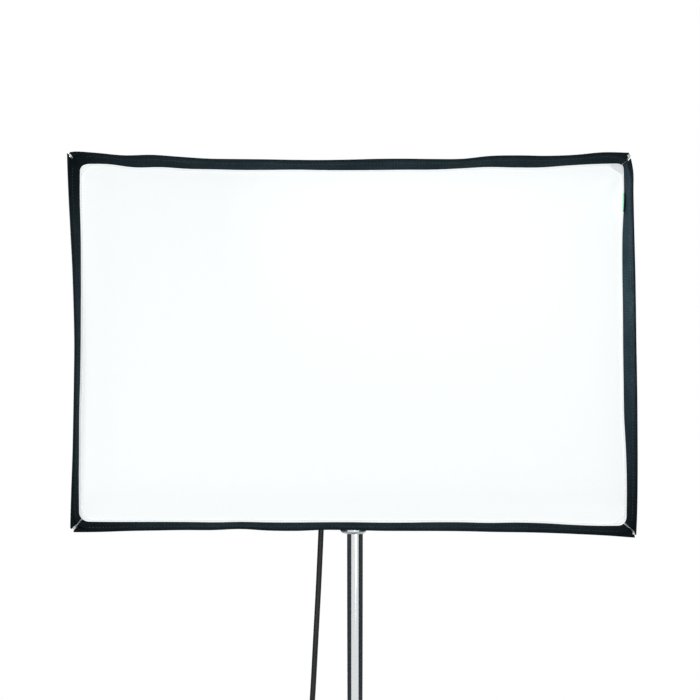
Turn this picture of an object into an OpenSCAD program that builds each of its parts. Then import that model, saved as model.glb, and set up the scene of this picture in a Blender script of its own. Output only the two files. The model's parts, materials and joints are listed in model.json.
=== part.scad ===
// Rectangular softbox with its lamp head, tilt bracket, stand and lead.
// Sizes are in millimetres. The front faces -Y and +Z is up. The origin is on the floor,
// under the middle of the whole object without its lead.

/* [Softbox] */
// Width over the front edges, corner to corner
front_w = 900; // [760:10:1000]
// Height over the front edges, corner to corner
front_h = 606; // [520:2:700]
// From the middle of the speed ring to the front edge
box_depth = 430; // [380:5:480]
// From the front edge back to the front diffuser
lip_depth = 40; // [25:1:60]
// How far the lip leans outwards over its depth
lip_flare = 10; // [4:1:16]
// How far the top front edge pulls in between its corners
edge_bow = 12; // [0:1:16]
// From the front edge back to where the rods bend most
rod_bend = 210; // [170:5:240]
// Radius of a spring rod
rod_r = 2.5; // [2:0.1:3.5]
// Thickness of the black shell cloth
cloth_t = 1.6; // [1:0.1:2]
// Thickness of the lip lining, the corner tapes and the baffle ties
tape_t = 1.2; // [0.8:0.1:1.6]
// Width of a corner tape on each side of its rod
tape_w = 14; // [8:1:24]
// Thickness of the white diffuser cloths
diffuser_t = 1.5; // [1:0.1:2.5]
// Corner radius of the front diffuser
diffuser_corner = 24; // [16:1:40]
// Width of the inner baffle
baffle_w = 420; // [300:10:480]
// Height of the inner baffle
baffle_h = 280; // [200:10:320]
// From the middle of the speed ring to the inner baffle
baffle_at = 200; // [140:5:260]
// Width of a baffle tie
tie_w = 12; // [6:1:20]
// Height of the pull tab
tab_h = 30; // [15:1:50]
// How far the pull tab stands forward of the diffuser
tab_len = 14; // [8:1:20]
// Height of the pull tab above the softbox axis
tab_up = 228; // [100:2:230]
// Wall of a rod's end cap
tip_wall = 0.6; // [0.4:0.1:1.5]
// Length of a rod's end cap
tip_len = 14; // [8:1:20]

/* [Speed ring] */
// Outer radius of the speed ring
ring_outer_r = 80; // [76:1:90]
// Thickness of the speed ring
ring_t = 16; // [12:1:22]
// Angle of the rod sockets above and below the level
socket_angle = 34; // [28:1:42]
// Radius of a rod socket
socket_r = 6.5; // [5:0.5:8]
// Length of a rod socket outside the ring
socket_len = 30; // [20:1:40]
// Radius of the ring lock's screw
ring_screw_r = 3; // [2:0.5:3.5]
// Radius of the ring lock's knob
ring_knob_r = 8; // [6:0.5:11]
// Length of the ring lock's knob
ring_knob_len = 15; // [8:1:24]

/* [Lamp head] */
// Outer radius of the lamp housing
lamp_r = 60; // [54:1:66]
// Wall of the lamp housing
lamp_wall = 2.5; // [1.5:0.1:4]
// From the stand's axis forward to the housing's front end
lamp_front = 85; // [70:1:100]
// From the stand's axis back to the housing's rear end
lamp_back = 130; // [110:1:160]
// Thickness of the rear panel
rear_t = 10; // [8:0.5:14]
// Radius of the front flange
flange_r = 72; // [68:1:75]
// Thickness of the front flange
flange_t = 12; // [8:1:16]
// Radius of the sleeve that the speed ring turns on
sleeve_r = 60; // [56:1:64]
// Radius of the hole through the sleeve
sleeve_bore_r = 50; // [46:1:52]
// Radius of the retaining ring
keeper_r = 68; // [66:1:72]
// Thickness of the retaining ring
keeper_t = 5; // [3:0.5:8]
// Radius of the retaining screws' shanks
screw_r = 2; // [1.5:0.1:2.5]
// Radius of the frosted globe
globe_r = 42; // [34:1:45]
// Length of the frosted globe
globe_len = 92; // [70:1:110]
// Wall of the frosted globe
globe_wall = 2.5; // [1.5:0.5:4]
// Radius of the flash tube's ring
flash_ring_r = 24; // [18:1:26]
// Radius of the flash tube itself
flash_tube_r = 4; // [3:0.5:5]
// Number of vent slots over the top of the housing
vent_count = 9; // [3:1:11]
// Length of a vent slot
vent_len = 42; // [20:1:60]
// Width of a vent slot
vent_w = 5; // [3:0.5:8]
// Radius of the power dial
dial_r = 17; // [12:1:20]
// Length of the power dial
dial_len = 14; // [8:1:20]
// Radius of the test button
button_r = 4.5; // [3:0.5:6]
// Width of the rocker switch
rocker_w = 12; // [8:1:16]
// Height of the rocker switch
rocker_h = 20; // [14:1:24]
// Thickness of the circuit board
board_t = 2; // [1.5:0.1:3]

/* [Tilt bracket] */
// From the softbox axis down to the tilt pivot
pivot_drop = 110; // [96:1:130]
// Radius of the tilt bolt
bolt_r = 4; // [3:0.5:5]
// Width of the lamp's foot between the cheeks
foot_w = 24; // [18:1:30]
// Thickness of a cheek
cheek_t = 8; // [5:1:12]
// Radius of the rounded ends at the pivot
cheek_r = 15; // [12:1:18]
// Radius of the socket under the cheeks
socket_body_r = 17; // [15:1:22]
// Length of the socket under the pivot
socket_body_len = 90; // [84:1:110]
// Radius of the spigot
spigot_r = 8; // [6:0.5:9]
// Length of the spigot inside the socket
spigot_len = 38; // [28:1:40]
// Radius of the umbrella hole
umbrella_r = 4.25; // [3:0.25:5]
// Radius of the spigot lock's screw
lock_screw_r = 3; // [2:0.5:4]
// Radius of the spigot lock's knob
lock_knob_r = 13; // [9:1:16]
// Length of the tilt lever
lever_len = 66; // [45:1:80]
// Radius of the tilt lever's arm
lever_r = 4; // [3:0.5:5]

/* [Stand] */
// Height of the softbox axis above the floor
axis_h = 1200; // [1150:10:1400]
// Outer radius of the column
column_r = 15; // [14:0.5:18]
// Wall of the column and of the riser
tube_wall = 1.5; // [1:0.1:1.8]
// Outer radius of the riser
riser_r = 12.5; // [12:0.1:13]
// Length of the riser inside the column
riser_inside = 520; // [480:10:560]
// From the softbox axis down to the top of the column
column_drop = 345; // [330:1:380]
// Radius of the column's collar
collar_r = 24.5; // [22:0.5:28]
// Height of the collar above the column's end
collar_up = 25; // [20:1:32]
// Depth of the collar below the column's end
collar_down = 13; // [10:1:24]
// Radius of the collar's clamp screw
clamp_r = 4; // [3:0.5:5]
// Length of the clamp screw's cross handle
clamp_bar = 56; // [40:2:80]
// From the stand's axis to the end of a leg
leg_reach = 430; // [380:10:520]
// From the stand's axis to a leg's upper bend
leg_knee = 95; // [80:1:110]
// From the stand's axis to a leg's lower bend
leg_heel = 195; // [170:1:230]
// Radius of a leg's bends
leg_bend_r = 50; // [40:1:60]
// Radius of a leg's tube
leg_r = 11; // [9:0.5:13]
// Radius of a leg's hub
hub_r = 22; // [20:1:28]
// Height of a leg's hub
hub_h = 34; // [30:1:40]
// Gap between two hubs
hub_gap = 1; // [0.5:0.5:3]
// Height of the lowest hub above the floor
hub_z = 70; // [60:2:100]
// Radius of a foot
foot_r = 14.5; // [13.5:0.5:18]
// Length of a foot
foot_len = 50; // [30:1:70]
// Depth of the flat under a foot
foot_flat = 1; // [0.5:0.1:2]

/* [Lead] */
// Diameter of the lead
lead_d = 10.5; // [8:0.5:12]
// Radius of the coil's outermost turn, at its middle
coil_r = 80; // [78:1:100]
// From one turn of the coil to the next
coil_step = 11.1; // [10.95:0.05:13]
// Turns of each of the coil's two layers
coil_loops = 3; // [1:1:3]
// Radius of the connector's coupling ring
coupling_r = 14.5; // [13.5:0.5:18]
// Length of the connector's shell
connector_len = 46; // [30:1:70]

/* [Fits] */
// Clearance of a turning or sliding fit
run_gap = 0.05; // [0.02:0.01:0.1]
// Clearance at the faces of moving pieces
face_gap = 0.5; // [0.3:0.1:1]
// Clearance of the spring rods in their sockets
rod_gap = 0.5; // [0.4:0.1:1]
// Clearance between layers of cloth
cloth_gap = 0.5; // [0.3:0.1:0.8]

/* [Hidden] */
$fn = 64;
CORNERS = ["top_right", "top_left", "bottom_left", "bottom_right"];
SIDES = ["top", "left", "bottom", "right"];

// Overshoot of a cut past the face that it opens
cut = 2;
lead_r = lead_d / 2;

// Places along the lamp's axis, which runs along Y at axis_h, with the stand at y = 0
mount_y = -lamp_front - flange_t;
ring_back = mount_y - face_gap;
ring_front = ring_back - ring_t;
ring_y = (ring_back + ring_front) / 2;
sleeve_end = ring_front - face_gap;
keeper_end = sleeve_end - keeper_t;
rear_y = lamp_back + rear_t;
ring_knob_y = ring_back - ring_screw_r - 1.5;
sleeve_mid_r = (sleeve_r + sleeve_bore_r) / 2;
screw_depth = 10;

// Controls on the rear panel, from the lamp's axis
dial_up = 22;
switch_up = -24;
button_x = 30;
button_up = -22;
dial_shaft_r = 3;
rocker_room = 1.3;
rocker_depth = 7;
rocker_proud = 2;
rocker_axle_r = 1;
rocker_y = rear_y + rocker_proud - rocker_depth / 2;

// Heights up the stand
pivot_z = axis_h - pivot_drop;
fork_bottom = pivot_z - socket_body_len;
spigot_flange = 3;
riser_top = fork_bottom - spigot_flange;
column_top = axis_h - column_drop;
column_bottom = 28;
riser_bottom = column_top - riser_inside;
foot_z = foot_r - foot_flat;
foot_end = 5;
leg_angles = [-90, 30, 150];
stack_h = 3 * hub_h + 4 * hub_gap;
clamp_z = column_top + collar_up / 2;
boss_end = collar_r + 10;
side_gap = 0.3;
cheek_x = foot_w / 2 + side_gap;
umbrella_z = pivot_z - cheek_r - 22;
lock_z = fork_bottom + 16;
lever_from = cheek_x + cheek_t + side_gap;
lever_hub_len = 12;
lever_hub_r = bolt_r + 5;

// The stand's axis stands behind the origin, so that the object is centred on it
reach_front = box_depth - ring_y;
reach_back = leg_reach * sin(leg_angles[1]) + foot_r * cos(leg_angles[1]);
stand_y = (reach_front - reach_back) / 2;

// Cloth: the corner lines are the rods' own curves, in ring coordinates (right, forward, up)
corner_sign = [[1, 1], [-1, 1], [-1, -1], [1, -1]];
panel_out = [[0, 0, 1], [-1, 0, 0], [0, 0, -1], [1, 0, 0]];
cloth_off = rod_r + rod_gap + cloth_t;
// The spring rods flex, so each front corner stands a little outside or inside its nominal place,
// and the cloth pulls each front edge in or lets it out by its own share of edge_bow
corner_slack = [[-3, 1], [6, 2.5], [0, -2], [5, 6.5]];
bow_share = [1, 0.75, 0.6, -0.33];
tip_gap = 0.1;
bend_swell = 0.3;
tip_r = rod_r + tip_gap + tip_wall;
seam_gap = tip_r + 2;
lip_lean = lip_flare / lip_depth;
shell_start = ring_t / 2 + face_gap + keeper_t + 24;
tip_back = 6;
rod_start = 6;
lip_inset = cloth_t + 2 * cloth_gap + 0.5;
diffuser_inset = lip_inset + tape_t + cloth_gap + 0.3;
diffuser_at = box_depth - lip_depth;
flap_at = 2;
flap_seam = 1.5;
flap_rim = 3;
tape_lift = cloth_gap + 0.8;
tape_stop = 30;

// Lead: hand-chosen routes in the stand's frame, the upper one with its heights from the lamp's axis
gland_x = -30;
gland_y = 100;
gland_top_z = axis_h - 78;
gland_end_z = axis_h - 116;
guide_x = -60;
guide_y = 16;
guide_z = axis_h - 250;
guide_h = 12;
guide_room = 1.6;
upper_points = [
    [-30, 100, -116.5], [-30, 99.8, -130], [-32, 94.5, -147], [-37, 82, -163], [-43.5, 65, -178],
    [-50, 46.5, -192], [-55.3, 31, -208], [-58.9, 20, -228], [-60, 16, -248.7]
];
lower_points = [
    [-60, 16, 949], [-60.5, 16, 928], [-62, 17, 890], [-65, 21, 825], [-69.5, 28, 735],
    [-74.5, 37, 640], [-80, 48, 550], [-86, 60, 460], [-92, 74, 370], [-97, 88, 280],
    [-101, 102, 190], [-103, 115, 115], [-104, 125, 78], [-104, 139, 45], [-102.5, 157, 21],
    [-97.5, 177, 9], [-87, 196, 5.6], [-70, 210, 5.4], [-48, 217, 5.4], [-25, 218, 5.4],
    [-2, 213.5, 5.4]
];
drawn_guide_z = 950;
free_fall_z = 100;
upper_route = [for (p = upper_points) p + [0, 0, axis_h]];
lower_route = [
    for (p = lower_points) p[2] < free_fall_z ? p : [p[0], p[1], p[2] * guide_z / drawn_guide_z]
];
coil_centre = [0, 130];
coil_start_angle = 75;
coil_end_run = [25, 50, 72, 84, 95];
exit_run = 95;
tie_angle = 250;
boot_len = 32;
shell_r = coupling_r - 2;

function unit(v) = v / norm(v);
function mix(a, b, t) = a + (b - a) * t;
function lamp_axis(y) = [0, y, axis_h];
function from_ring(p) = [p[0], ring_y - p[1], axis_h + p[2]];

// The curve that corner k's rod follows, from the ring at u = 0 to the front edge at u = 1
function corner_root(k) = [
    corner_sign[k][0] * ring_outer_r * cos(socket_angle),
    0,
    corner_sign[k][1] * ring_outer_r * sin(socket_angle)
];
function corner_end(k) = [
    corner_sign[k][0] * (front_w / 2 + corner_slack[k][0] - cloth_off),
    box_depth,
    corner_sign[k][1] * (front_h / 2 + corner_slack[k][1] - cloth_off)
];
function corner_bend(k) = corner_end(k)
    - rod_bend * [corner_sign[k][0] * lip_lean, 1, corner_sign[k][1] * lip_lean];
function corner_line(k, u) = (1 - u) * (1 - u) * corner_root(k)
    + 2 * u * (1 - u) * corner_bend(k) + u * u * corner_end(k);
function socket_dir(k) = unit(corner_bend(k) - corner_root(k));

// The value of u at which the corner lines are a given way forward of the ring
function u_at(forward) = let (
    bend = box_depth - rod_bend,
    slope = 2 * bend,
    curve = box_depth - slope
) 2 * forward / (slope + sqrt(slope * slope + 4 * curve * forward));

// A point of panel k, at u from the ring to the front and v from one rod to the next
function panel_point(k, u, v, inset) = let (
    a = corner_line(k, u),
    b = corner_line((k + 1) % 4, u),
    trim = seam_gap / norm(b - a),
    t = trim + v * (1 - 2 * trim),
    bow = edge_bow * bow_share[k] * u * 4 * t * (1 - t)
) mix(a, b, t) + panel_out[k] * (cloth_off - inset - bow);
function panel_grid(k, u_from, u_to, rows, cols, inset) = [
    for (i = [0:rows]) [
        for (j = [0:cols]) from_ring(panel_point(k, mix(u_from, u_to, i / rows), j / cols, inset))
    ]
];

// A tape folded over corner k's rod, lift above the shell cloth
function tape_row(k, u, lift) = let (
    p = corner_line(k, u),
    out = cloth_off + lift,
    s = corner_sign[k]
) [
    for (q = [[-tape_w, out], [out - 2, out], [out, out - 2], [out, -tape_w]])
        from_ring(p + [s[0] * q[0], 0, s[1] * q[1]])
];
function tape_grid(k, rows, lift) = [
    for (i = [0:rows]) tape_row(k, mix(u_at(shell_start), u_at(box_depth - tape_stop), i / rows), lift)
];

// A rear flap from the speed ring's rim to panel k's rear edge
function flap_span(k) = k % 2 == 0 ? 90 - socket_angle - 12 : socket_angle - 12;
function flap_point(k, s, v, lift) = let (
    turn = 90 * (k + 1) + flap_span(k) * (2 * v - 1),
    rim_r = ring_outer_r + flap_rim,
    rim = [rim_r * cos(turn), flap_at, rim_r * sin(turn)],
    edge = panel_point(k, u_at(shell_start - flap_seam), 0.08 + 0.84 * v, cloth_t)
) mix(rim, edge, s) + panel_out[k] * lift;
function flap_grid(k, rows, cols, lift) = [
    for (i = [0:rows]) [for (j = [0:cols]) from_ring(flap_point(k, i / rows, j / cols, lift))]
];

// Triangles of a sheet with an outer and an inner layer of rows x cols points
function sheet_faces(rows, cols) = let (
    at = function (layer, i, j) (layer * rows + i) * cols + j,
    quad = function (a, b, c, d) [[a, b, c], [a, c, d]],
    n = rows - 1,
    m = cols - 1
) concat(
    [for (i = [0:n - 1], j = [0:m - 1])
        each quad(at(0, i, j), at(0, i, j + 1), at(0, i + 1, j + 1), at(0, i + 1, j))],
    [for (i = [0:n - 1], j = [0:m - 1])
        each quad(at(1, i, j), at(1, i + 1, j), at(1, i + 1, j + 1), at(1, i, j + 1))],
    [for (j = [0:m - 1]) each quad(at(0, 0, j + 1), at(0, 0, j), at(1, 0, j), at(1, 0, j + 1))],
    [for (j = [0:m - 1]) each quad(at(0, n, j), at(0, n, j + 1), at(1, n, j + 1), at(1, n, j))],
    [for (i = [0:n - 1]) each quad(at(0, i, 0), at(0, i + 1, 0), at(1, i + 1, 0), at(1, i, 0))],
    [for (i = [0:n - 1]) each quad(at(0, i + 1, m), at(0, i, m), at(1, i, m), at(1, i + 1, m))]
);
function turned(faces) = [for (f = faces) [f[2], f[1], f[0]]];

module sheet(outer, inner) {
    rows = len(outer);
    cols = len(outer[0]);
    across = cross(outer[0][1] - outer[0][0], outer[1][1] - outer[0][0]);
    faces = sheet_faces(rows, cols);
    polyhedron(
        points = concat([for (row = outer) each row], [for (row = inner) each row]),
        faces = across * (outer[0][0] - inner[0][0]) > 0 ? turned(faces) : faces
    );
}

// Smooth curve through the points of a route
function spline_point(a, b, c, d, t) = 0.5 * (2 * b + (c - a) * t
    + (2 * a - 5 * b + 4 * c - d) * t * t + (3 * b - a - 3 * c + d) * t * t * t);
function spline(p, steps) = let (last = len(p) - 1) [
    for (i = [0:last - 1], s = [0:steps - 1])
        spline_point(p[max(i - 1, 0)], p[i], p[i + 1], p[min(i + 2, last)], s / steps),
    p[last]
];

// Rings of a tube along a path, each square to it, with no twist between them
function tangents(path) = let (last = len(path) - 1) [
    for (i = [0:last]) unit(path[min(i + 1, last)] - path[max(i - 1, 0)])
];
function square_to(v, t) = unit(v - t * (v * t));
function normals(ways, first) = [
    for (i = 0, n = square_to(first, ways[0]); i < len(ways);
        i = i + 1, n = i < len(ways) ? square_to(n, ways[i]) : n) n
];
function tube_points(path, r, sides, first) = let (
    ways = tangents(path),
    ups = normals(ways, first)
) [
    for (i = [0:len(path) - 1], j = [0:sides - 1])
        let (a = 360 * j / sides)
        path[i] + r * (cos(a) * ups[i] + sin(a) * cross(ways[i], ups[i]))
];
function tube_faces(rings, sides) = concat(
    [for (j = [1:sides - 2]) [0, j, j + 1]],
    [for (i = [0:rings - 2], j = [0:sides - 1]) let (
        a = i * sides + j,
        b = i * sides + (j + 1) % sides
    ) each [[a, b + sides, b], [a, a + sides, b + sides]]],
    [for (j = [1:sides - 2]) let (e = (rings - 1) * sides) [e, e + j + 1, e + j]]
);
module tube(path, r, sides, first) {
    polyhedron(points = tube_points(path, r, sides, first), faces = tube_faces(len(path), sides));
}

// Coil of two layers: it spirals in, climbs where it turns back, and spirals out on top
coil_turn = coil_loops + 0.25;
function coil_rise(t) = let (s = max(0, min(1, 2 * (t - coil_loops)))) s * s * (3 - 2 * s);
function coil_point(t) = let (
    a = coil_start_angle - 360 * t,
    r = coil_r - coil_step * (t < coil_turn ? t : 2 * coil_turn - t)
) [coil_centre[0] + r * cos(a), coil_centre[1] + r * sin(a), lead_r + coil_step * coil_rise(t)];
coil_out = coil_point(2 * coil_loops);
exit_dir = [sin(coil_start_angle), -cos(coil_start_angle), 0];
function exit_point(run) = coil_out + exit_dir * run
    + [0, 0, (coupling_r - coil_out[2]) * max(0, min(1, (run - 50) / 30))];
coil_turns_path = [for (i = [0:24 * 2 * coil_loops]) coil_point(i / 24)];
coil_path = concat(coil_turns_path, [for (run = coil_end_run) exit_point(run)]);
coil_gap = min([
    for (i = [0:len(coil_turns_path) - 1], j = [0:len(coil_path) - 1])
        if (j - i > 12) norm(coil_path[j] - coil_turns_path[i])
]) - lead_d;
echo(str("least gap of the coil to itself: ", coil_gap, " mm"));

// Children that stand on a and point at b, with the round bars and cones made so
module aimed(a, b) {
    v = b - a;
    translate(a) rotate([0, acos(v[2] / norm(v)), atan2(v[1], v[0])]) children();
}
module bar(a, b, r) {
    aimed(a, b) cylinder(h = norm(b - a), r = r);
}
module cone(a, b, r_from, r_to) {
    aimed(a, b) cylinder(h = norm(b - a), r1 = r_from, r2 = r_to);
}
// A round tube along points of the XZ plane; its bends are drawn thicker and overlap the straights
function heading(a, b) = atan2(b[1] - a[1], b[0] - a[0]);
function turn_at(p, i) = heading(p[i], p[i + 1]) - heading(p[i - 1], p[i]);
function bend_trim(p, i, bend_r) =
    i == 0 || i == len(p) - 1 ? 0 : bend_r * tan(abs(turn_at(p, i)) / 2);
function standing(q) = [q[0], 0, q[1]];
module bent_tube(p, bend_r, r) {
    for (i = [0:len(p) - 2]) {
        way = unit(p[i + 1] - p[i]);
        into = 1.5;
        bar(standing(p[i] + way * (i == 0 ? 0 : bend_trim(p, i, bend_r) - into)),
            standing(p[i + 1] - way * (i == len(p) - 2 ? 0 : bend_trim(p, i + 1, bend_r) - into)), r);
    }
    for (i = [1:len(p) - 2]) {
        way = unit(p[i] - p[i - 1]);
        turn = turn_at(p, i);
        side = turn > 0 ? 1 : -1;
        centre = p[i] - way * bend_trim(p, i, bend_r) + side * bend_r * [-way[1], way[0]];
        from = turn > 0 ? heading(p[i - 1], p[i]) - 90 : heading(p[i], p[i + 1]) + 90;
        translate(standing(centre)) rotate([90, 0, 0]) rotate([0, 0, from])
            rotate_extrude(angle = abs(turn)) translate([bend_r, 0]) circle(r = r + bend_swell);
    }
}
// A round knob with chamfered rims
module knob(a, b, r) {
    way = unit(b - a);
    rim = 1.5;
    cone(a, a + way * rim, r - rim, r);
    bar(a + way * rim, b - way * rim, r);
    cone(b - way * rim, b, r, r - rim);
}

// Softbox
module speed_ring() {
    color("#9a9c9e") difference() {
        bar(lamp_axis(ring_back), lamp_axis(ring_front), ring_outer_r);
        bar(lamp_axis(ring_back + cut), lamp_axis(ring_front - cut), sleeve_r + run_gap);
        bar([0, ring_knob_y, axis_h], [0, ring_knob_y, axis_h + ring_outer_r + cut], ring_screw_r + run_gap);
    }
}
module rod_sockets() {
    color("#3a3c3e") for (k = [0:3]) {
        root = from_ring(corner_root(k));
        way = from_ring(corner_root(k) + socket_dir(k)) - root;
        difference() {
            bar(root - way * socket_r * 2, root + way * socket_len, socket_r);
            bar(lamp_axis(ring_back + 3 * socket_r), lamp_axis(ring_front - 3 * socket_r), ring_outer_r);
            bar(root + way * (rod_start - 1), root + way * (socket_len + cut), rod_r + rod_gap);
        }
    }
}
module rod(k) {
    u_from = rod_start / norm(2 * (corner_bend(k) - corner_root(k)));
    u_to = u_at(box_depth - tip_back);
    color("#b9bbbd")
        tube([for (i = [0:18]) from_ring(corner_line(k, mix(u_from, u_to, i / 18)))], rod_r, 10, [0, 0, 1]);
}
module rod_tips() {
    color("white") for (k = [0:3]) {
        u_tip = u_at(box_depth - tip_back);
        tip = from_ring(corner_line(k, u_tip));
        way = unit(tip - from_ring(corner_line(k, u_tip - 0.02)));
        bore = rod_r + tip_gap;
        grip = tip_len - 4;
        aimed(tip, tip + way) rotate_extrude() polygon([
            [bore, -grip], [tip_r, -grip], [tip_r, 2], [tip_r / 2, 4], [0, 4], [0, 0.1], [bore, 0.1]
        ]);
    }
}
module shell(k) {
    u_from = u_at(shell_start);
    color("#1c1f22") sheet(panel_grid(k, u_from, 1, 10, 12, 0), panel_grid(k, u_from, 1, 10, 12, cloth_t));
}
module lip(k) {
    u_from = u_at(diffuser_at);
    color("#24282c") sheet(
        panel_grid(k, u_from, 1, 2, 12, lip_inset),
        panel_grid(k, u_from, 1, 2, 12, lip_inset + tape_t)
    );
}
module corner_tapes() {
    color("#17191b") for (k = [0:3])
        sheet(tape_grid(k, 12, tape_lift + tape_t), tape_grid(k, 12, tape_lift));
}
module rear_flaps() {
    color("#1a1c1e") for (k = [0:3]) sheet(flap_grid(k, 4, 10, cloth_t), flap_grid(k, 4, 10, 0));
}
module front_diffuser() {
    u = u_at(diffuser_at);
    outline = [for (k = [0:3], j = [0:8]) let (p = panel_point(k, u, j / 8, diffuser_inset)) [p[0], p[2]]];
    color("#f4f6f8") translate(from_ring([0, diffuser_at, 0])) rotate([90, 0, 0])
        linear_extrude(diffuser_t)
            offset(r = diffuser_corner) offset(delta = -diffuser_corner) polygon(outline);
}
module inner_baffle() {
    color("#f4f6f8") translate(from_ring([-baffle_w / 2, baffle_at + diffuser_t, -baffle_h / 2]))
        cube([baffle_w, diffuser_t, baffle_h]);
}
module baffle_ties() {
    inside = 20;
    color("#202224") for (k = [0:3]) {
        s = corner_sign[k];
        rod_at = corner_line(k, u_at(baffle_at + diffuser_t));
        a = [s[0] * (baffle_w / 2 - inside), s[1] * (baffle_h / 2 - inside)];
        run = [rod_at[0], rod_at[2]] - a;
        translate(from_ring([a[0], baffle_at + diffuser_t + tape_t, a[1]]))
            rotate([0, -atan2(run[1], run[0]), 0])
                translate([0, 0, -tie_w / 2]) cube([norm(run), tape_t, tie_w]);
    }
}
module pull_tab() {
    u = u_at(diffuser_at);
    v = 0.5 + tab_up / (2 * corner_line(0, u)[2]);
    edge = panel_point(3, u, v, diffuser_inset);
    tab_t = 1;
    stand_off = 2.5;
    color("#b0e6c8")
        translate(from_ring([edge[0] - stand_off - tab_t, diffuser_at + diffuser_t + tab_len, tab_up - tab_h / 2]))
            cube([tab_t, tab_len, tab_h]);
}
module ring_knob() {
    low = axis_h + sleeve_r + face_gap;
    seat = axis_h + ring_outer_r + 10;
    color("#202224") {
        bar([0, ring_knob_y, low], [0, ring_knob_y, seat + 1], ring_screw_r);
        knob([0, ring_knob_y, seat], [0, ring_knob_y, seat + ring_knob_len], ring_knob_r);
    }
}

// Lamp head
module lamp_housing() {
    color("#2a2c2f") difference() {
        bar(lamp_axis(-lamp_front), lamp_axis(lamp_back), lamp_r);
        bar(lamp_axis(-lamp_front - cut), lamp_axis(lamp_back + cut), lamp_r - lamp_wall);
        for (i = [0:vent_count - 1])
            translate(lamp_axis(lamp_back - vent_len - 14)) rotate([0, 14 * (i - (vent_count - 1) / 2), 0])
                translate([-vent_w / 2, 0, lamp_r - lamp_wall - cut])
                    cube([vent_w, vent_len, lamp_wall + 2 * cut]);
    }
}
module screw_places() {
    for (a = [45:90:315])
        translate([sleeve_mid_r * cos(a), 0, axis_h + sleeve_mid_r * sin(a)]) children();
}
module screw_holes() {
    screw_places() bar([0, sleeve_end + screw_depth, 0], [0, keeper_end - cut, 0], screw_r + run_gap);
}
module lamp_mount() {
    color("#8c8f92") difference() {
        union() {
            bar(lamp_axis(-lamp_front), lamp_axis(mount_y), flange_r);
            bar(lamp_axis(-lamp_front), lamp_axis(sleeve_end), sleeve_r);
        }
        bar(lamp_axis(-lamp_front + cut), lamp_axis(sleeve_end - cut), sleeve_bore_r);
        screw_holes();
    }
}
module retaining_ring() {
    color("#9a9c9e") difference() {
        bar(lamp_axis(sleeve_end), lamp_axis(keeper_end), keeper_r);
        bar(lamp_axis(sleeve_end + cut), lamp_axis(keeper_end - cut), sleeve_bore_r);
        screw_holes();
    }
}
module retaining_screws() {
    head_r = 1.8 * screw_r;
    head_h = 1.2 * screw_r;
    color("#b9bbbd") screw_places() {
        bar([0, sleeve_end + screw_depth - 1, 0], [0, keeper_end, 0], screw_r);
        bar([0, keeper_end, 0], [0, keeper_end - head_h, 0], head_r);
    }
}
module lamp_holder() {
    color("#e8e4da")
        bar(lamp_axis(-lamp_front), lamp_axis(mount_y), sleeve_bore_r - run_gap);
}
// The profile of the globe, round at its closed end
function globe_profile(r, length) = [
    [0, 0], [r, 0], each [for (a = [0:10:90]) [r * cos(a), length - r + r * sin(a)]]
];
module frosted_globe() {
    color("#f2f4f6") translate(lamp_axis(mount_y)) rotate([90, 0, 0]) rotate_extrude() difference() {
        polygon(globe_profile(globe_r, globe_len));
        polygon(globe_profile(globe_r - globe_wall, globe_len - globe_wall));
    }
}
module flash_tube() {
    reach = 24;
    color("#ffffff") {
        translate(lamp_axis(mount_y - reach)) rotate([90, 0, 0])
            rotate_extrude() translate([flash_ring_r, 0]) circle(r = flash_tube_r);
        for (side = [-1, 1])
            bar([side * flash_ring_r, mount_y, axis_h], [side * flash_ring_r, mount_y - reach, axis_h],
                flash_tube_r / 2);
    }
}
module driver_board() {
    drop = 30;
    inner = lamp_r - lamp_wall;
    half = sqrt(inner * inner - drop * drop) - face_gap;
    end_room = 14;
    color("#2f6b46") translate([-half, -lamp_front + end_room, axis_h - drop])
        cube([2 * half, lamp_front + lamp_back - 2 * end_room, board_t]);
}
module rear_panel() {
    color("#26282b") difference() {
        union() {
            bar(lamp_axis(lamp_back), lamp_axis(rear_y - 3), lamp_r);
            cone(lamp_axis(rear_y - 3), lamp_axis(rear_y), lamp_r, lamp_r - 3);
        }
        bar([0, lamp_back - cut, axis_h + dial_up], [0, rear_y + cut, axis_h + dial_up], dial_shaft_r + run_gap);
        bar([button_x, lamp_back - cut, axis_h + button_up], [button_x, rear_y + cut, axis_h + button_up],
            button_r + face_gap / 2);
        translate([-rocker_w / 2 - face_gap, lamp_back - cut, axis_h + switch_up - rocker_h / 2 - rocker_room])
            cube([rocker_w + 2 * face_gap, rear_t + 2 * cut, rocker_h + 2 * rocker_room]);
    }
    color("#26282b") rocker_axle(rocker_w / 2 + face_gap + 1, rocker_axle_r);
}
// The axle that the rocker switch turns on, reaching half to each side
module rocker_axle(half, r) {
    bar([-half, rocker_y, axis_h + switch_up], [half, rocker_y, axis_h + switch_up], r);
}
module power_dial() {
    seat = rear_y + face_gap;
    color("#1c1e20") {
        bar([0, lamp_back + 1, axis_h + dial_up], [0, seat + 2, axis_h + dial_up], dial_shaft_r);
        difference() {
            knob([0, seat, axis_h + dial_up], [0, seat + dial_len, axis_h + dial_up], dial_r);
            translate([-1, seat + dial_len - 1.2, axis_h + dial_up + 4]) cube([2, 4, dial_r]);
        }
    }
}
module power_switch() {
    color("#b32020") difference() {
        translate([-rocker_w / 2, rocker_y - rocker_depth / 2, axis_h + switch_up - rocker_h / 2])
            cube([rocker_w, rocker_depth, rocker_h]);
        rocker_axle(rocker_w / 2 + cut, rocker_axle_r + run_gap);
    }
}
module test_button() {
    color("#d0d4d8")
        knob([button_x, lamp_back + 2.2, axis_h + button_up], [button_x, rear_y + 3, axis_h + button_up], button_r);
}
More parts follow.
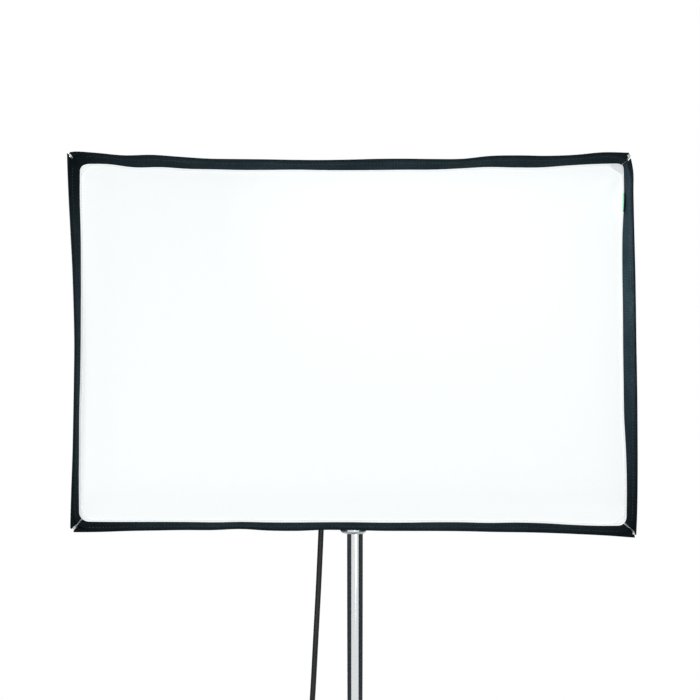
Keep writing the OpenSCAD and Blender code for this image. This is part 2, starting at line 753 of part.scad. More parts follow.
module tilt_foot() {
    neck = 26;
    saddle = 70;
    saddle_z = axis_h - lamp_r - 8;
    color("#4a4d50") difference() {
        union() {
            bar([-foot_w / 2, 0, pivot_z], [foot_w / 2, 0, pivot_z], cheek_r);
            translate([-foot_w / 2, -neck / 2, pivot_z]) cube([foot_w, neck, axis_h - lamp_r - pivot_z + 10]);
            translate([-foot_w / 2, -saddle / 2, saddle_z]) cube([foot_w, saddle, 18]);
        }
        bar(lamp_axis(-lamp_front), lamp_axis(lamp_back), lamp_r);
        bar([-foot_w, 0, pivot_z], [foot_w, 0, pivot_z], bolt_r + run_gap);
    }
}
module lead_gland() {
    nut_r = 10;
    nut_end = gland_top_z - 6;
    color("#17191b") {
        difference() {
            bar([gland_x, gland_y, axis_h - lamp_r / 2], [gland_x, gland_y, nut_end], nut_r);
            bar(lamp_axis(-lamp_front), lamp_axis(lamp_back), lamp_r);
        }
        cone([gland_x, gland_y, nut_end], [gland_x, gland_y, gland_end_z], nut_r - 1, lead_r + 0.9);
    }
}

// Tilt bracket and riser
module tilt_fork() {
    plate_top = pivot_z - cheek_r - 9;
    plate_t = 8;
    cheek_y = 26;
    color("#4a4d50") difference() {
        union() {
            bar([0, 0, fork_bottom], [0, 0, plate_top - 1], socket_body_r);
            translate([-cheek_x - cheek_t, -cheek_r, plate_top - plate_t])
                cube([2 * (cheek_x + cheek_t), 2 * cheek_r, plate_t]);
            for (side = [-1, 1]) {
                bar([side * cheek_x, 0, pivot_z], [side * (cheek_x + cheek_t), 0, pivot_z], cheek_r);
                translate([side > 0 ? cheek_x : -cheek_x - cheek_t, -cheek_y / 2, plate_top - plate_t / 2])
                    cube([cheek_t, cheek_y, pivot_z - plate_top + plate_t / 2]);
            }
        }
        bar([0, 0, fork_bottom - cut], [0, 0, fork_bottom + spigot_len + 1], spigot_r + run_gap);
        bar([-2 * cheek_x - cheek_t, 0, pivot_z], [2 * cheek_x + cheek_t, 0, pivot_z], bolt_r + run_gap);
        bar([0, -socket_body_r - cut, umbrella_z], [0, socket_body_r + cut, umbrella_z], umbrella_r);
        bar([0, 0, lock_z], [0, socket_body_r + cut, lock_z], lock_screw_r + run_gap);
    }
}
module tilt_bolt() {
    head_r = bolt_r + 3;
    outer = cheek_x + cheek_t;
    end = lever_from + lever_hub_len + side_gap;
    color("#b9bbbd") {
        bar([-outer - 5, 0, pivot_z], [-outer, 0, pivot_z], head_r);
        bar([-outer - 1, 0, pivot_z], [end + 3, 0, pivot_z], bolt_r);
        bar([end, 0, pivot_z], [end + 4, 0, pivot_z], head_r - 1);
    }
}
module tilt_lever() {
    mid = lever_from + lever_hub_len / 2;
    way = unit([0.12, 1, -1]);
    start = [mid, 0, pivot_z] + way * (bolt_r + lever_r);
    end = [mid, 0, pivot_z] + way * lever_len;
    color("#17191b") {
        difference() {
            bar([lever_from, 0, pivot_z], [lever_from + lever_hub_len, 0, pivot_z], lever_hub_r);
            bar([lever_from - cut, 0, pivot_z], [lever_from + lever_hub_len + cut, 0, pivot_z], bolt_r + run_gap);
        }
        bar(start, end, lever_r);
        translate(end) sphere(lever_r + 2.5);
    }
}
module spigot_knob() {
    seat = socket_body_r + 4;
    color("#17191b") {
        bar([0, spigot_r + 0.4, lock_z], [0, seat + 1, lock_z], lock_screw_r);
        knob([0, seat, lock_z], [0, seat + 16, lock_z], lock_knob_r);
    }
}
module riser_spigot() {
    plug_len = 40;
    color("#b9bbbd") {
        bar([0, 0, riser_top - plug_len], [0, 0, riser_top], riser_r - tube_wall - run_gap);
        bar([0, 0, riser_top], [0, 0, fork_bottom], riser_r);
        bar([0, 0, fork_bottom], [0, 0, fork_bottom + spigot_len], spigot_r);
    }
}
module riser_tube() {
    color("#d5d8da") difference() {
        bar([0, 0, riser_bottom], [0, 0, riser_top], riser_r);
        bar([0, 0, riser_bottom - cut], [0, 0, riser_top + cut], riser_r - tube_wall);
    }
}
module lead_guide() {
    eye_r = lead_r + guide_room;
    wall = 3;
    band_r = riser_r + run_gap;
    low = guide_z - guide_h / 2;
    high = guide_z + guide_h / 2;
    to_eye = [guide_x, guide_y];
    color("#17191b") difference() {
        union() {
            bar([0, 0, low], [0, 0, high], band_r + wall);
            bar([guide_x, guide_y, low], [guide_x, guide_y, high], eye_r + wall);
            rotate([0, 0, atan2(to_eye[1], to_eye[0])]) translate([band_r, -wall, low])
                cube([norm(to_eye) - band_r, 2 * wall, guide_h]);
        }
        bar([0, 0, low - cut], [0, 0, high + cut], band_r);
        bar([guide_x, guide_y, low - cut], [guide_x, guide_y, high + cut], eye_r);
    }
}

// Stand
module column() {
    color("#d5d8da") difference() {
        bar([0, 0, column_bottom], [0, 0, column_top], column_r);
        bar([0, 0, column_bottom - cut], [0, 0, column_top + cut], column_r - tube_wall);
    }
}
module collar() {
    neck_r = column_r + 2;
    bowl_h = 9;
    bowl = collar_r - neck_r;
    low = column_top - collar_down;
    high = column_top + collar_up;
    color("#a4a7aa") difference() {
        union() {
            rotate_extrude() polygon([
                [0, low], [neck_r, low],
                each [for (a = [15:15:90]) [neck_r + bowl * sin(a), low + bowl_h * (1 - cos(a))]],
                [collar_r, high - 3], [collar_r - 3, high], [0, high]
            ]);
            bar([0, column_r, clamp_z], [0, boss_end, clamp_z], clamp_r + 5);
        }
        bar([0, 0, low - cut], [0, 0, column_top], column_r + run_gap);
        bar([0, 0, low], [0, 0, high + cut], riser_r + run_gap);
        bar([0, 0, clamp_z], [0, boss_end + cut, clamp_z], clamp_r + run_gap);
    }
}
module collar_knob() {
    hub_from = boss_end + 3;
    hub_len = 14;
    bar_y = hub_from + hub_len / 2;
    bar_r = clamp_r + 0.5;
    color("#2a2c2f") {
        bar([0, riser_r + 0.4, clamp_z], [0, hub_from + 1, clamp_z], clamp_r);
        bar([0, hub_from, clamp_z], [0, hub_from + hub_len, clamp_z], clamp_r + 4);
        bar([-clamp_bar / 2, bar_y, clamp_z], [clamp_bar / 2, bar_y, clamp_z], bar_r);
        for (side = [-1, 1]) translate([side * clamp_bar / 2, bar_y, clamp_z]) sphere(bar_r + 1.5);
    }
}
module base_collars() {
    ring_h = 12;
    color("#a4a7aa") for (low = [hub_z - hub_gap - ring_h, hub_z - hub_gap + stack_h - hub_gap])
        difference() {
            bar([0, 0, low], [0, 0, low + ring_h], hub_r - 2);
            bar([0, 0, low - cut], [0, 0, low + ring_h + cut], column_r + run_gap);
        }
}
// A leg along +X: its hub on the column, its drop and its run along the floor
module leg(n) {
    low = hub_z + (n - 1) * (hub_h + hub_gap);
    mid = low + hub_h / 2;
    fall = 5;
    route = [
        [column_r + 3, mid], [leg_knee, mid - fall], [leg_heel, foot_z], [leg_reach - foot_end, foot_z]
    ];
    color("#c9ccce") rotate([0, 0, leg_angles[n - 1]]) difference() {
        union() {
            bar([0, 0, low], [0, 0, low + hub_h], hub_r);
            bent_tube(route, leg_bend_r, leg_r);
        }
        bar([0, 0, low - cut], [0, 0, low + hub_h + cut], column_r + run_gap);
    }
}
module foot(n) {
    color("#17191b") rotate([0, 0, leg_angles[n - 1]]) difference() {
        bar([leg_reach - foot_len, 0, foot_z], [leg_reach, 0, foot_z], foot_r);
        bar([leg_reach - foot_len - cut, 0, foot_z], [leg_reach - foot_end, 0, foot_z], leg_r + run_gap);
        translate([leg_reach - foot_len - cut, -foot_r, -2 * foot_r])
            cube([foot_len + 2 * cut, 2 * foot_r, 2 * foot_r]);
    }
}

// Lead
module lead_upper() {
    color("#121314") tube(spline(upper_route, 2), lead_r, 10, [1, 0, 0]);
}
module lead_lower() {
    color("#121314") tube(spline(concat(lower_route, [coil_point(0)]), 3), lead_r, 10, [1, 0, 0]);
}
module lead_coil() {
    color("#121314") tube(coil_path, lead_r, 6, [0, 0, 1]);
}
module coil_tie() {
    strap_t = 1.2;
    strap_w = 16;
    inner_r = coil_r - coil_step * coil_turn - lead_r - strap_t - 0.6;
    outer_r = coil_r + lead_r + strap_t;
    top = lead_r + coil_step + lead_r + 0.5;
    color("#2b2e31") translate([coil_centre[0], coil_centre[1], 0]) rotate([0, 0, tie_angle]) difference() {
        translate([inner_r, -strap_w / 2, 0]) cube([outer_r - inner_r, strap_w, top + strap_t]);
        translate([inner_r + strap_t, -strap_w / 2 - cut, strap_t])
            cube([outer_r - inner_r - 2 * strap_t, strap_w + 2 * cut, top - strap_t]);
    }
}
function plug_at(run) = exit_point(exit_run) + exit_dir * run;
module connector_body() {
    end = boot_len + connector_len;
    socket = 12;
    wall = 2;
    pin_r = 1.5;
    color("#1f2123") aimed(plug_at(0), plug_at(1)) {
        rotate_extrude() polygon([
            [0, 0], [lead_r + 1, 0], [shell_r - wall, boot_len], [shell_r, boot_len], [shell_r, end],
            [shell_r - wall, end], [shell_r - wall, end - socket], [0, end - socket]
        ]);
        for (a = [0, 120, 240]) rotate([0, 0, a])
            translate([shell_r / 2, 0, end - socket - 1]) cylinder(h = socket - 2, r = pin_r);
    }
}
module connector_ring() {
    end = boot_len + connector_len;
    color("#c9ccce") difference() {
        bar(plug_at(end - 26), plug_at(end - 4), coupling_r);
        bar(plug_at(end - 26 - cut), plug_at(end - 4 + cut), shell_r + run_gap);
    }
}

module place() {
    translate([0, stand_y, 0]) children();
}
place() speed_ring();
place() rod_sockets();
for (k = [0:3]) place() rod(k);
place() rod_tips();
for (k = [0:3]) place() shell(k);
for (k = [0:3]) place() lip(k);
place() corner_tapes();
place() rear_flaps();
place() front_diffuser();
place() inner_baffle();
place() baffle_ties();
place() pull_tab();
place() ring_knob();
place() lamp_housing();
place() lamp_mount();
place() retaining_ring();
place() retaining_screws();
place() lamp_holder();
place() frosted_globe();
place() flash_tube();
place() driver_board();
place() rear_panel();
place() power_dial();
place() power_switch();
place() test_button();
place() tilt_foot();
place() lead_gland();
place() tilt_fork();
place() tilt_bolt();
place() tilt_lever();
place() spigot_knob();
place() riser_spigot();
place() riser_tube();
place() lead_guide();
place() column();
place() collar();
place() collar_knob();
place() base_collars();
for (n = [1:3]) place() leg(n);
for (n = [1:3]) place() foot(n);
place() lead_upper();
place() lead_lower();
place() lead_coil();
place() coil_tie();
place() connector_body();
place() connector_ring();
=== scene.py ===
"""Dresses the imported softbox, its lamp head, stand and lead, and sets the camera and the light.

Lengths are in millimetres until a mesh becomes a piece. The stand's axis is at STAND_Y, the lamp's
axis runs along Y at AXIS_Z, and "forward" is towards -Y, counted from the middle of the speed ring.
"""
import json
import logging
from dataclasses import dataclass, field, replace
from enum import Enum
from math import atan, atan2, cos, exp, hypot, pi, radians, sin, sqrt, tan
from typing import Callable, ClassVar, Iterable, Sequence

import bmesh
import bpy
from bmesh.types import BMFace, BMVert
from bpy.types import Material, Node, NodeSocket, NodeTree, Object, Scene
from mathutils import Matrix, Vector, noise

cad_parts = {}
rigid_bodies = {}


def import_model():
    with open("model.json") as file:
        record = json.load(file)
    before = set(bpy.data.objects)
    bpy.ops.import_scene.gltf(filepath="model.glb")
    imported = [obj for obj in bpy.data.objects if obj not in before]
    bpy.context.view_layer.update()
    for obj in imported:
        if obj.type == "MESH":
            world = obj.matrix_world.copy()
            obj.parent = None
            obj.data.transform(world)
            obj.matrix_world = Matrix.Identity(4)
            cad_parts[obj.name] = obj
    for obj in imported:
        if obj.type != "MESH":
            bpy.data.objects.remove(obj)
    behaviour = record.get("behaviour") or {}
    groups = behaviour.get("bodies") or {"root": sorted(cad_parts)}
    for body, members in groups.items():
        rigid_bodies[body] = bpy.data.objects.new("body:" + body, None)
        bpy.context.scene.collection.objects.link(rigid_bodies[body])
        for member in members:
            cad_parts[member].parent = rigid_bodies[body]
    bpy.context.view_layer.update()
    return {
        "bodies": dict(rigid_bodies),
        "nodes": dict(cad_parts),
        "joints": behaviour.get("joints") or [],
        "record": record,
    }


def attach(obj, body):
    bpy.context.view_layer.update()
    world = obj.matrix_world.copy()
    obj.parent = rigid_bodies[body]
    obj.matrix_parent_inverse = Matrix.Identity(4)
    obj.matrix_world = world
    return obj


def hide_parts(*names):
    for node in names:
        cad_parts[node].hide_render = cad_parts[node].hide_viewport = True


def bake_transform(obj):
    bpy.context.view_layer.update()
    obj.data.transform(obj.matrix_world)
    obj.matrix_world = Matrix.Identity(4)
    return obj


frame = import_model()
LOG = logging.getLogger("softbox")

MM = 0.001
STAND_Y = 153.9713
AXIS_Z = 1200.0
RING_Y = STAND_Y - 105.5
FRONT = 430.0
DIFFUSER_AT = 391.0
UP = Vector((0, 0, 1))
BACK = Vector((0, 1, 0))
RIGHT = Vector((1, 0, 0))


class Side(Enum):
    """A side of the softbox; the value is its panel's number, counted from the top over the left."""

    TOP = 0
    LEFT = 1
    BOTTOM = 2
    RIGHT = 3

    @property
    def word(self) -> str:
        """The side's name in lower case."""
        return self.name.lower()

    @property
    def out(self) -> Vector:
        """The direction that the side faces."""
        return (UP, -RIGHT, -UP, RIGHT)[self.value]


def linear(code: str) -> tuple[float, float, float, float]:
    """Turns an sRGB hex colour to linear.

    Args:
        code: the colour as "#rrggbb".

    Returns:
        The linear red, green and blue, and an alpha of 1.
    """
    parts = [int(code[i:i + 2], 16) / 255 for i in (1, 3, 5)]
    red, green, blue = (c / 12.92 if c <= 0.04045 else ((c + 0.055) / 1.055) ** 2.4 for c in parts)
    return red, green, blue, 1.0


def fill(tree: NodeTree, node: Node, inputs: dict) -> None:
    """Sets or links a node's inputs.

    Args:
        tree: the node tree.
        node: the node.
        inputs: socket names or numbers to a value, or to the socket that is linked to it.
    """
    for name, value in inputs.items():
        if isinstance(value, NodeSocket):
            tree.links.new(value, node.inputs[name])
        else:
            node.inputs[name].default_value = value


def add(tree: NodeTree, kind: str, inputs: dict | None = None, **settings: object) -> Node:
    """Adds a node with its settings and links.

    Args:
        tree: the node tree.
        kind: the shader node's type.
        inputs: what its sockets are set to or linked to.
        settings: the node's own properties.

    Returns:
        The new node.
    """
    node = tree.nodes.new("ShaderNode" + kind)
    for name, value in settings.items():
        setattr(node, name, value)
    fill(tree, node, inputs or {})
    return node


def noise_of(tree: NodeTree, spot: NodeSocket, size_mm: float,
             detail: float) -> NodeSocket:
    """Adds noise whose patches have a size in millimetres, and gives its strength."""
    inputs = {"Vector": spot, "Scale": 1 / (size_mm * MM), "Detail": detail}
    return add(tree, "TexNoise", inputs).outputs["Fac"]


def ranged(tree: NodeTree, value: NodeSocket, low: float, high: float, first: float = 0.0,
           last: float = 1.0) -> NodeSocket:
    """Maps a value between low and high to one between first and last."""
    inputs = {"Value": value, "From Min": low, "From Max": high, "To Min": first, "To Max": last}
    return add(tree, "MapRange", inputs).outputs["Result"]


def smooth(low: float, high: float, x: float) -> float:
    """Eases from 0, where x is at low, to 1, where it is at high."""
    t = min(1.0, max(0.0, (x - low) / (high - low)))
    return t * t * (3 - 2 * t)


def through(stations: Sequence[float], t: float) -> float:
    """Reads a smooth curve through evenly spaced values.

    Args:
        stations: the values.
        t: the place, from 0 to 1.

    Returns:
        The curve's value there.
    """
    last = len(stations) - 1
    at = min(max(t, 0.0), 1.0) * last
    i = min(int(at), last - 1)
    s = at - i
    a, b, c, d = (stations[min(max(j, 0), last)] for j in (i - 1, i, i + 1, i + 2))
    return 0.5 * (2 * b + (c - a) * s + (2 * a - 5 * b + 4 * c - d) * s * s + (3 * b - a - 3 * c + d) * s ** 3)


def spline(points: Sequence[Sequence[float]], steps: int) -> list[Vector]:
    """Lays the smooth curve of a lead through its route's points.

    Args:
        points: the route.
        steps: points of the curve for each stretch of the route.

    Returns:
        The curve's points.
    """
    count = (len(points) - 1) * steps
    rows = list(zip(*points))
    return [Vector(through(row, i / count) for row in rows) for i in range(count + 1)]


def frames_along(path: Sequence[Vector]) -> list[Matrix]:
    """Finds a frame at each point of a path, with Z along it and no twist from one to the next.

    Args:
        path: the points.

    Returns:
        A placing matrix for each point.
    """
    last = len(path) - 1
    ways = [(path[min(i + 1, last)] - path[max(i - 1, 0)]).normalized() for i in range(last + 1)]
    side = ways[0].orthogonal().normalized()
    frames = []
    for point, way in zip(path, ways):
        side = (side - way * side.dot(way)).normalized()
        turn = Matrix((side, way.cross(side), way)).transposed().to_4x4()
        frames.append(Matrix.Translation(point) @ turn)
    return frames


def aimed(base: Vector, way: Vector) -> Matrix:
    """Gives the placing of a shape that is made along Z, with its origin at base and its Z along way."""
    return Matrix.Translation(base) @ way.to_track_quat("Z", "Y").to_matrix().to_4x4()


@dataclass(frozen=True)
class Finish:
    """A material: what a surface is made of and how it was made.

    Attributes:
        name: the real material's name.
        colour: its main colour, as sRGB hex.
        rough: its mean roughness.
    """

    name: str
    colour: str
    rough: float
    made: ClassVar[dict[str, Material]] = {}

    def material(self) -> Material:
        """Makes the material once.

        Returns:
            The material.
        """
        if self.name not in self.made:
            material = bpy.data.materials.new(self.name)
            material.use_nodes = True
            tree = material.node_tree
            shader = tree.nodes["Principled BSDF"]
            fill(tree, shader, {"Base Color": linear(self.colour), "Roughness": self.rough})
            self.dress(tree, shader)
            self.made[self.name] = material
        return self.made[self.name]

    def dress(self, tree: NodeTree, shader: Node) -> None:
        """Adds the pattern to the plain shader."""
        raise NotImplementedError


@dataclass(frozen=True)
class Grained(Finish):
    """A moulded, cast, painted or rubber surface with a fine grain and faint marks of handling.

    Attributes:
        worn: the colour of its paler or more worn patches.
        grain_mm: the size of its grain.
        patch_mm: the size of its patches.
        bump: how strongly the grain shows.
        swing: how much the roughness varies.
        metallic: 1 on bare metal.
        coat: a clear coat's strength.
    """

    worn: str = "#808080"
    grain_mm: float = 0.8
    patch_mm: float = 40.0
    bump: float = 0.15
    swing: float = 0.1
    metallic: float = 0.0
    coat: float = 0.0

    def dress(self, tree: NodeTree, shader: Node) -> None:
        """Adds grain, patches and a bump.

        Args:
            tree: the material's node tree.
            shader: its shader.
        """
        spot = add(tree, "TexCoord").outputs["Object"]
        patch = noise_of(tree, spot, self.patch_mm, 5.0)
        grain = noise_of(tree, spot, self.grain_mm, 2.0)
        colour = add(tree, "Mix", {
            "Factor": ranged(tree, patch, 0.35, 0.75), 6: linear(self.colour), 7: linear(self.worn),
        }, data_type="RGBA")
        rough = ranged(tree, patch, 0.3, 0.7, max(0.02, self.rough - self.swing), self.rough + self.swing)
        bump = add(tree, "Bump", {
            "Height": grain, "Strength": self.bump, "Distance": 0.3 * self.grain_mm * MM,
        })
        fill(tree, shader, {
            "Metallic": self.metallic, "Coat Weight": self.coat, "Base Color": colour.outputs[2],
            "Roughness": rough, "Normal": bump.outputs["Normal"],
        })


@dataclass(frozen=True)
class Plated(Finish):
    """Bright chrome plate on drawn tube, with the faint long streaks that drawing and wiping leave.

    Attributes:
        streak_mm: the width of a streak.
        along: the streaks' stretch along Z.
    """

    streak_mm: float = 1.5
    along: float = 0.02

    def dress(self, tree: NodeTree, shader: Node) -> None:
        """Adds streaks to the gloss of the plate.

        Args:
            tree: the material's node tree.
            shader: its shader.
        """
        spot = add(tree, "TexCoord").outputs["Object"]
        drawn = add(tree, "Mapping", {"Vector": spot, "Scale": (1.0, 1.0, self.along)})
        streak = noise_of(tree, drawn.outputs["Vector"], self.streak_mm, 3.0)
        rough = ranged(tree, streak, 0.3, 0.7, 0.6 * self.rough, 1.5 * self.rough)
        bump = add(tree, "Bump", {"Height": streak, "Strength": 0.02, "Distance": 0.05 * MM})
        fill(tree, shader, {"Metallic": 1.0, "Roughness": rough, "Normal": bump.outputs["Normal"]})


@dataclass(frozen=True)
class Woven(Finish):
    """Cloth or tape of crossed threads, whose weave follows the piece's own UV map in metres.

    Attributes:
        valley: the colour between the threads.
        thread_mm: the spacing of the threads across, drawn coarser than it is where it wouldn't show.
        pick_mm: the spacing of the threads along.
        bump: how strongly the weave shows.
        speckle: how much single threads differ in tone.
        mottle: how much broad patches differ in tone.
        mottle_mm: the size of those patches.
        sheen: the soft gloss at grazing angles.
        gloss: the shine of the threads.
        glow: a painted glow that the cloth gives off itself, with no lamp lit inside the softbox.
        painted_border_glow: how much more painted glow there is where its points say so, to lift a border that the
            lips shade.
        painted_corner_shade: how much darker the cloth is painted where its points say so, as shade near the
            corners.
    """

    valley: str = "#000000"
    thread_mm: float = 2.4
    pick_mm: float = 2.4
    bump: float = 0.3
    speckle: float = 0.4
    mottle: float = 0.0
    mottle_mm: float = 70.0
    sheen: float = 0.2
    gloss: float = 0.02
    glow: float = 0.0
    painted_border_glow: float = 0.0
    painted_corner_shade: float = 0.0

    def dress(self, tree: NodeTree, shader: Node) -> None:
        """Adds the crossed threads, the speckle of single threads and their bump.

        Args:
            tree: the material's node tree.
            shader: its shader.
        """
        spot = add(tree, "TexCoord").outputs["UV"]
        height = None
        for axis, pitch in (("X", self.thread_mm), ("Y", self.pick_mm)):
            thread = add(tree, "TexWave", {
                "Vector": spot, "Scale": pi / (10 * pitch * MM), "Distortion": 0.6, "Detail": 1.0,
            }, bands_direction=axis)
            height = thread.outputs["Fac"] if height is None else add(
                tree, "Math", {0: height, 1: thread.outputs["Fac"]}, operation="MULTIPLY",
            ).outputs[0]
        speckle = add(tree, "TexNoise", {
            "Vector": spot, "Scale": 1 / (1.6 * self.thread_mm * MM), "Detail": 3.0, "Roughness": 0.65,
        })
        mixed = add(tree, "Mix", {
            "Factor": self.speckle, 2: height, 3: speckle.outputs["Fac"],
        }, data_type="FLOAT")
        tones = [ranged(tree, noise_of(tree, spot, self.mottle_mm, 2.0), 0.35, 0.65, 1 - self.mottle)]
        # Painted shade: the cloth is darkened towards the corners by the share noted on its points.
        if self.painted_corner_shade:
            layers = add(tree, "Attribute", attribute_name="painted_corner_shade").outputs["Fac"]
            tones.append(ranged(tree, layers, 0.0, 1.0, 1.0, 1 - self.painted_corner_shade))
        lit = ranged(tree, mixed.outputs[0], 0.1, 0.6)
        for tone in tones:
            lit = add(tree, "Math", {0: lit, 1: tone}, operation="MULTIPLY").outputs[0]
        colour = add(tree, "Mix", {
            "Factor": lit, 6: linear(self.valley), 7: linear(self.colour),
        }, data_type="RGBA")
        bump = add(tree, "Bump", {
            "Height": mixed.outputs[0], "Strength": self.bump, "Distance": 0.2 * self.thread_mm * MM,
        })
        fill(tree, shader, {
            "Sheen Roughness": 0.45, "Sheen Weight": self.sheen, "Specular IOR Level": self.gloss,
            "Base Color": colour.outputs[2], "Normal": bump.outputs["Normal"],
        })
        # Painted glow: the cloth gives off light itself; no lamp lights it from behind.
        if self.glow:
            fill(tree, shader, {"Emission Color": colour.outputs[2], "Emission Strength": self.glow})
        # Painted glow: more of it where the points say so, to lift a border that the lips shade.
        if self.painted_border_glow:
            rim = add(tree, "Attribute", attribute_name="rim").outputs["Fac"]
            light = add(tree, "Math", {0: rim, 1: self.painted_border_glow * self.glow, 2: self.glow},
                        operation="MULTIPLY_ADD")
            fill(tree, shader, {"Emission Strength": light.outputs[0]})


@dataclass(frozen=True)
class Glazed(Finish):
    """Glass, clear or frosted, with the faint waves of blown glass.

    Attributes:
        clear: how much light goes through it.
        bending: its index of refraction.
        wave_mm: the size of its waves.
    """

    clear: float = 0.9
    bending: float = 1.47
    wave_mm: float = 6.0

    def dress(self, tree: NodeTree, shader: Node) -> None:
        """Lets light through and adds the waves.

        Args:
            tree: the material's node tree.
            shader: its shader.
        """
        spot = add(tree, "TexCoord").outputs["Object"]
        wave = noise_of(tree, spot, self.wave_mm, 2.0)
        bump = add(tree, "Bump", {"Height": wave, "Strength": 0.05, "Distance": 0.2 * MM})
        fill(tree, shader, {
            "Transmission Weight": self.clear, "IOR": self.bending, "Normal": bump.outputs["Normal"],
        })


# Black nylon of the shell: a tight plain weave with a low shine and a faint blue-green cast
SHELL_NYLON = Woven("black oxford nylon", "#2c3539", 0.5, valley="#14191c", speckle=0.45, mottle=0.3, sheen=0.1,
                    gloss=0.45)
# The lining of the lip: the same nylon, drawn a little coarser, with the speckle of its threads, and painted darker
# near the corners as shade
LIP_NYLON = Woven("black lining nylon", "#364952", 0.66, valley="#11191d", thread_mm=2.6, pick_mm=2.6,
                  speckle=0.6, mottle=0.45, sheen=0.0, gloss=0.004, bump=0.4, painted_corner_shade=0.8)
# Ribbed polyester tape of the bindings and corners: close ribs across, a soft gloss on their tops, and painted
# darker near the corners as shade
TAPE_POLYESTER = Woven("black polyester tape", "#2e3d44", 0.58, valley="#10171a", thread_mm=1.8,
                       pick_mm=40.0, speckle=0.25, mottle=0.3, bump=0.5, sheen=0.0, gloss=0.004, painted_corner_shade=0.7)
# The same tape over the corner seams, pressed smooth over the rods
SEAM_TAPE = replace(TAPE_POLYESTER, name="black seam tape", gloss=0.25, painted_corner_shade=0.0)
# White diffusing nylon: cool white, its rip-stop threads a shade darker and drawn coarser than they are; it gives
# off a painted glow, with more painted glow at the lower and left border
DIFFUSER_NYLON = Woven("white ripstop nylon", "#fafdfd", 0.7, valley="#f3f7f8", thread_mm=3.6, pick_mm=3.6,
                       speckle=0.45, bump=0.06, sheen=0.02, glow=0.455, painted_border_glow=0.2)
# White hem tape: hardly greyer than the cloth, so that the hem just reads as a second layer; it gives off the same
# painted glow as the cloth
HEM_TAPE = Woven("white hem tape", "#fafdfd", 0.65, valley="#f3f7f8", thread_mm=2.0, pick_mm=6.0,
                 speckle=0.3, bump=0.1, sheen=0.02, glow=0.445, painted_border_glow=0.2)
# The gusset of the upper right corner, greyer and with less glow than the cloth: painted shade on that corner
GUSSET_PAINTED_SHADE = Woven("white nylon with painted shade", "#eff2f3", 0.7, valley="#e6eaec", speckle=0.4, bump=0.1, sheen=0.02,
                     glow=0.36)
# Mint grosgrain of the pull tab, a bright ribbon with a faint painted glow
TAB_GROSGRAIN = Woven("mint grosgrain", "#9ad6b6", 0.6, valley="#88c5a4", thread_mm=1.2, pick_mm=20.0,
                      speckle=0.2, bump=0.4, sheen=0.02, glow=0.05)
# Webbing of the ties and the coil's strap: coarse, dull, nearly black
STRAP_WEBBING = Woven("black webbing", "#2b2e31", 0.7, valley="#101214", thread_mm=2.0, pick_mm=3.0, bump=0.6)
# Sewing threads, bonded polyester with a low gloss
DARK_THREAD = Grained("dark bonded thread", "#262d30", 0.6, worn="#31393d", grain_mm=0.5, patch_mm=6)
PALE_THREAD = Grained("pale bonded thread", "#bcc3c5", 0.5, worn="#aeb6b9", grain_mm=0.5, patch_mm=6)
# Spring steel rods: bare, ground, a soft grey shine
SPRING_STEEL = Grained("ground spring steel", "#c6cacd", 0.24, worn="#b4b9bc", grain_mm=0.5,
                       metallic=1.0, bump=0.05)
# Lacquer of the softbox's rods: pale grey-green, dulled by the cloth
ROD_LACQUER = Grained("pale lacquered spring steel", "#cbd3d0", 0.42, worn="#bcc5c2", grain_mm=0.5, bump=0.05)
# Moulded nylon end caps: clean white with a soft gloss
CAP_NYLON = Grained("white moulded nylon", "#f1f3f4", 0.35, worn="#e3e6e8", grain_mm=0.6, bump=0.05)
# Die-cast aluminium, tumbled: pale grey with a satin grain
CAST_ALUMINIUM = Grained("tumbled cast aluminium", "#a9acaf", 0.36, worn="#8f9396", grain_mm=0.9, metallic=1.0)
# Nickel plate of the riser's collar: brighter and smoother than the bare castings
NICKEL = Plated("satin nickel plate", "#d3d9dc", 0.18)
# Turned aluminium of the lamp's mount, a little darker
TURNED_ALUMINIUM = Grained("turned aluminium", "#8f9295", 0.3, worn="#7d8083", grain_mm=0.4,
                           metallic=1.0, bump=0.06)
# Powder coats: fine orange-peel, satin, rubbed paler in patches
BLACK_COAT = Grained("black powder coat", "#26282b", 0.48, worn="#303337", grain_mm=1.1, bump=0.3)
GREY_COAT = Grained("graphite powder coat", "#494c50", 0.45, worn="#54585c", grain_mm=1.1, bump=0.3)
# Moulded plastics: spark-eroded matt black, and glossy switch colours
BLACK_ABS = Grained("spark-eroded black ABS", "#17191b", 0.55, worn="#202326", grain_mm=0.7, bump=0.35)
PANEL_ABS = Grained("charcoal ABS", "#26282b", 0.52, worn="#2e3135", bump=0.3)
SWITCH_ABS = Grained("red gloss ABS", "#b0201f", 0.22, worn="#a31c1c", grain_mm=0.6, bump=0.04, coat=0.3)
BUTTON_ABS = Grained("pale grey gloss ABS", "#cfd3d7", 0.25, worn="#c2c7cb", grain_mm=0.6, bump=0.04, coat=0.3)
PRINT_INK = Grained("white pad-print ink", "#e6e8ea", 0.5, worn="#d2d5d8", grain_mm=0.4, bump=0.05)
LENS_GREEN = Grained("green lamp lens", "#3fbf72", 0.15, worn="#37ad67", grain_mm=0.5, bump=0.02, coat=0.6)
# Steatite of the lamp holder: unglazed, off-white, dry
STEATITE = Grained("unglazed steatite", "#e6e1d6", 0.75, worn="#d8d2c5", grain_mm=0.5, bump=0.2)
# Rubber feet and the lead's sheath: near black, the sheath with the satin of extruded rubber
FOOT_RUBBER = Grained("moulded rubber", "#17181a", 0.72, worn="#222427", grain_mm=1.0, bump=0.35)
SHEATH_RUBBER = Grained("extruded rubber sheath", "#101416", 0.46, worn="#181d20", bump=0.1,
                        swing=0.06)
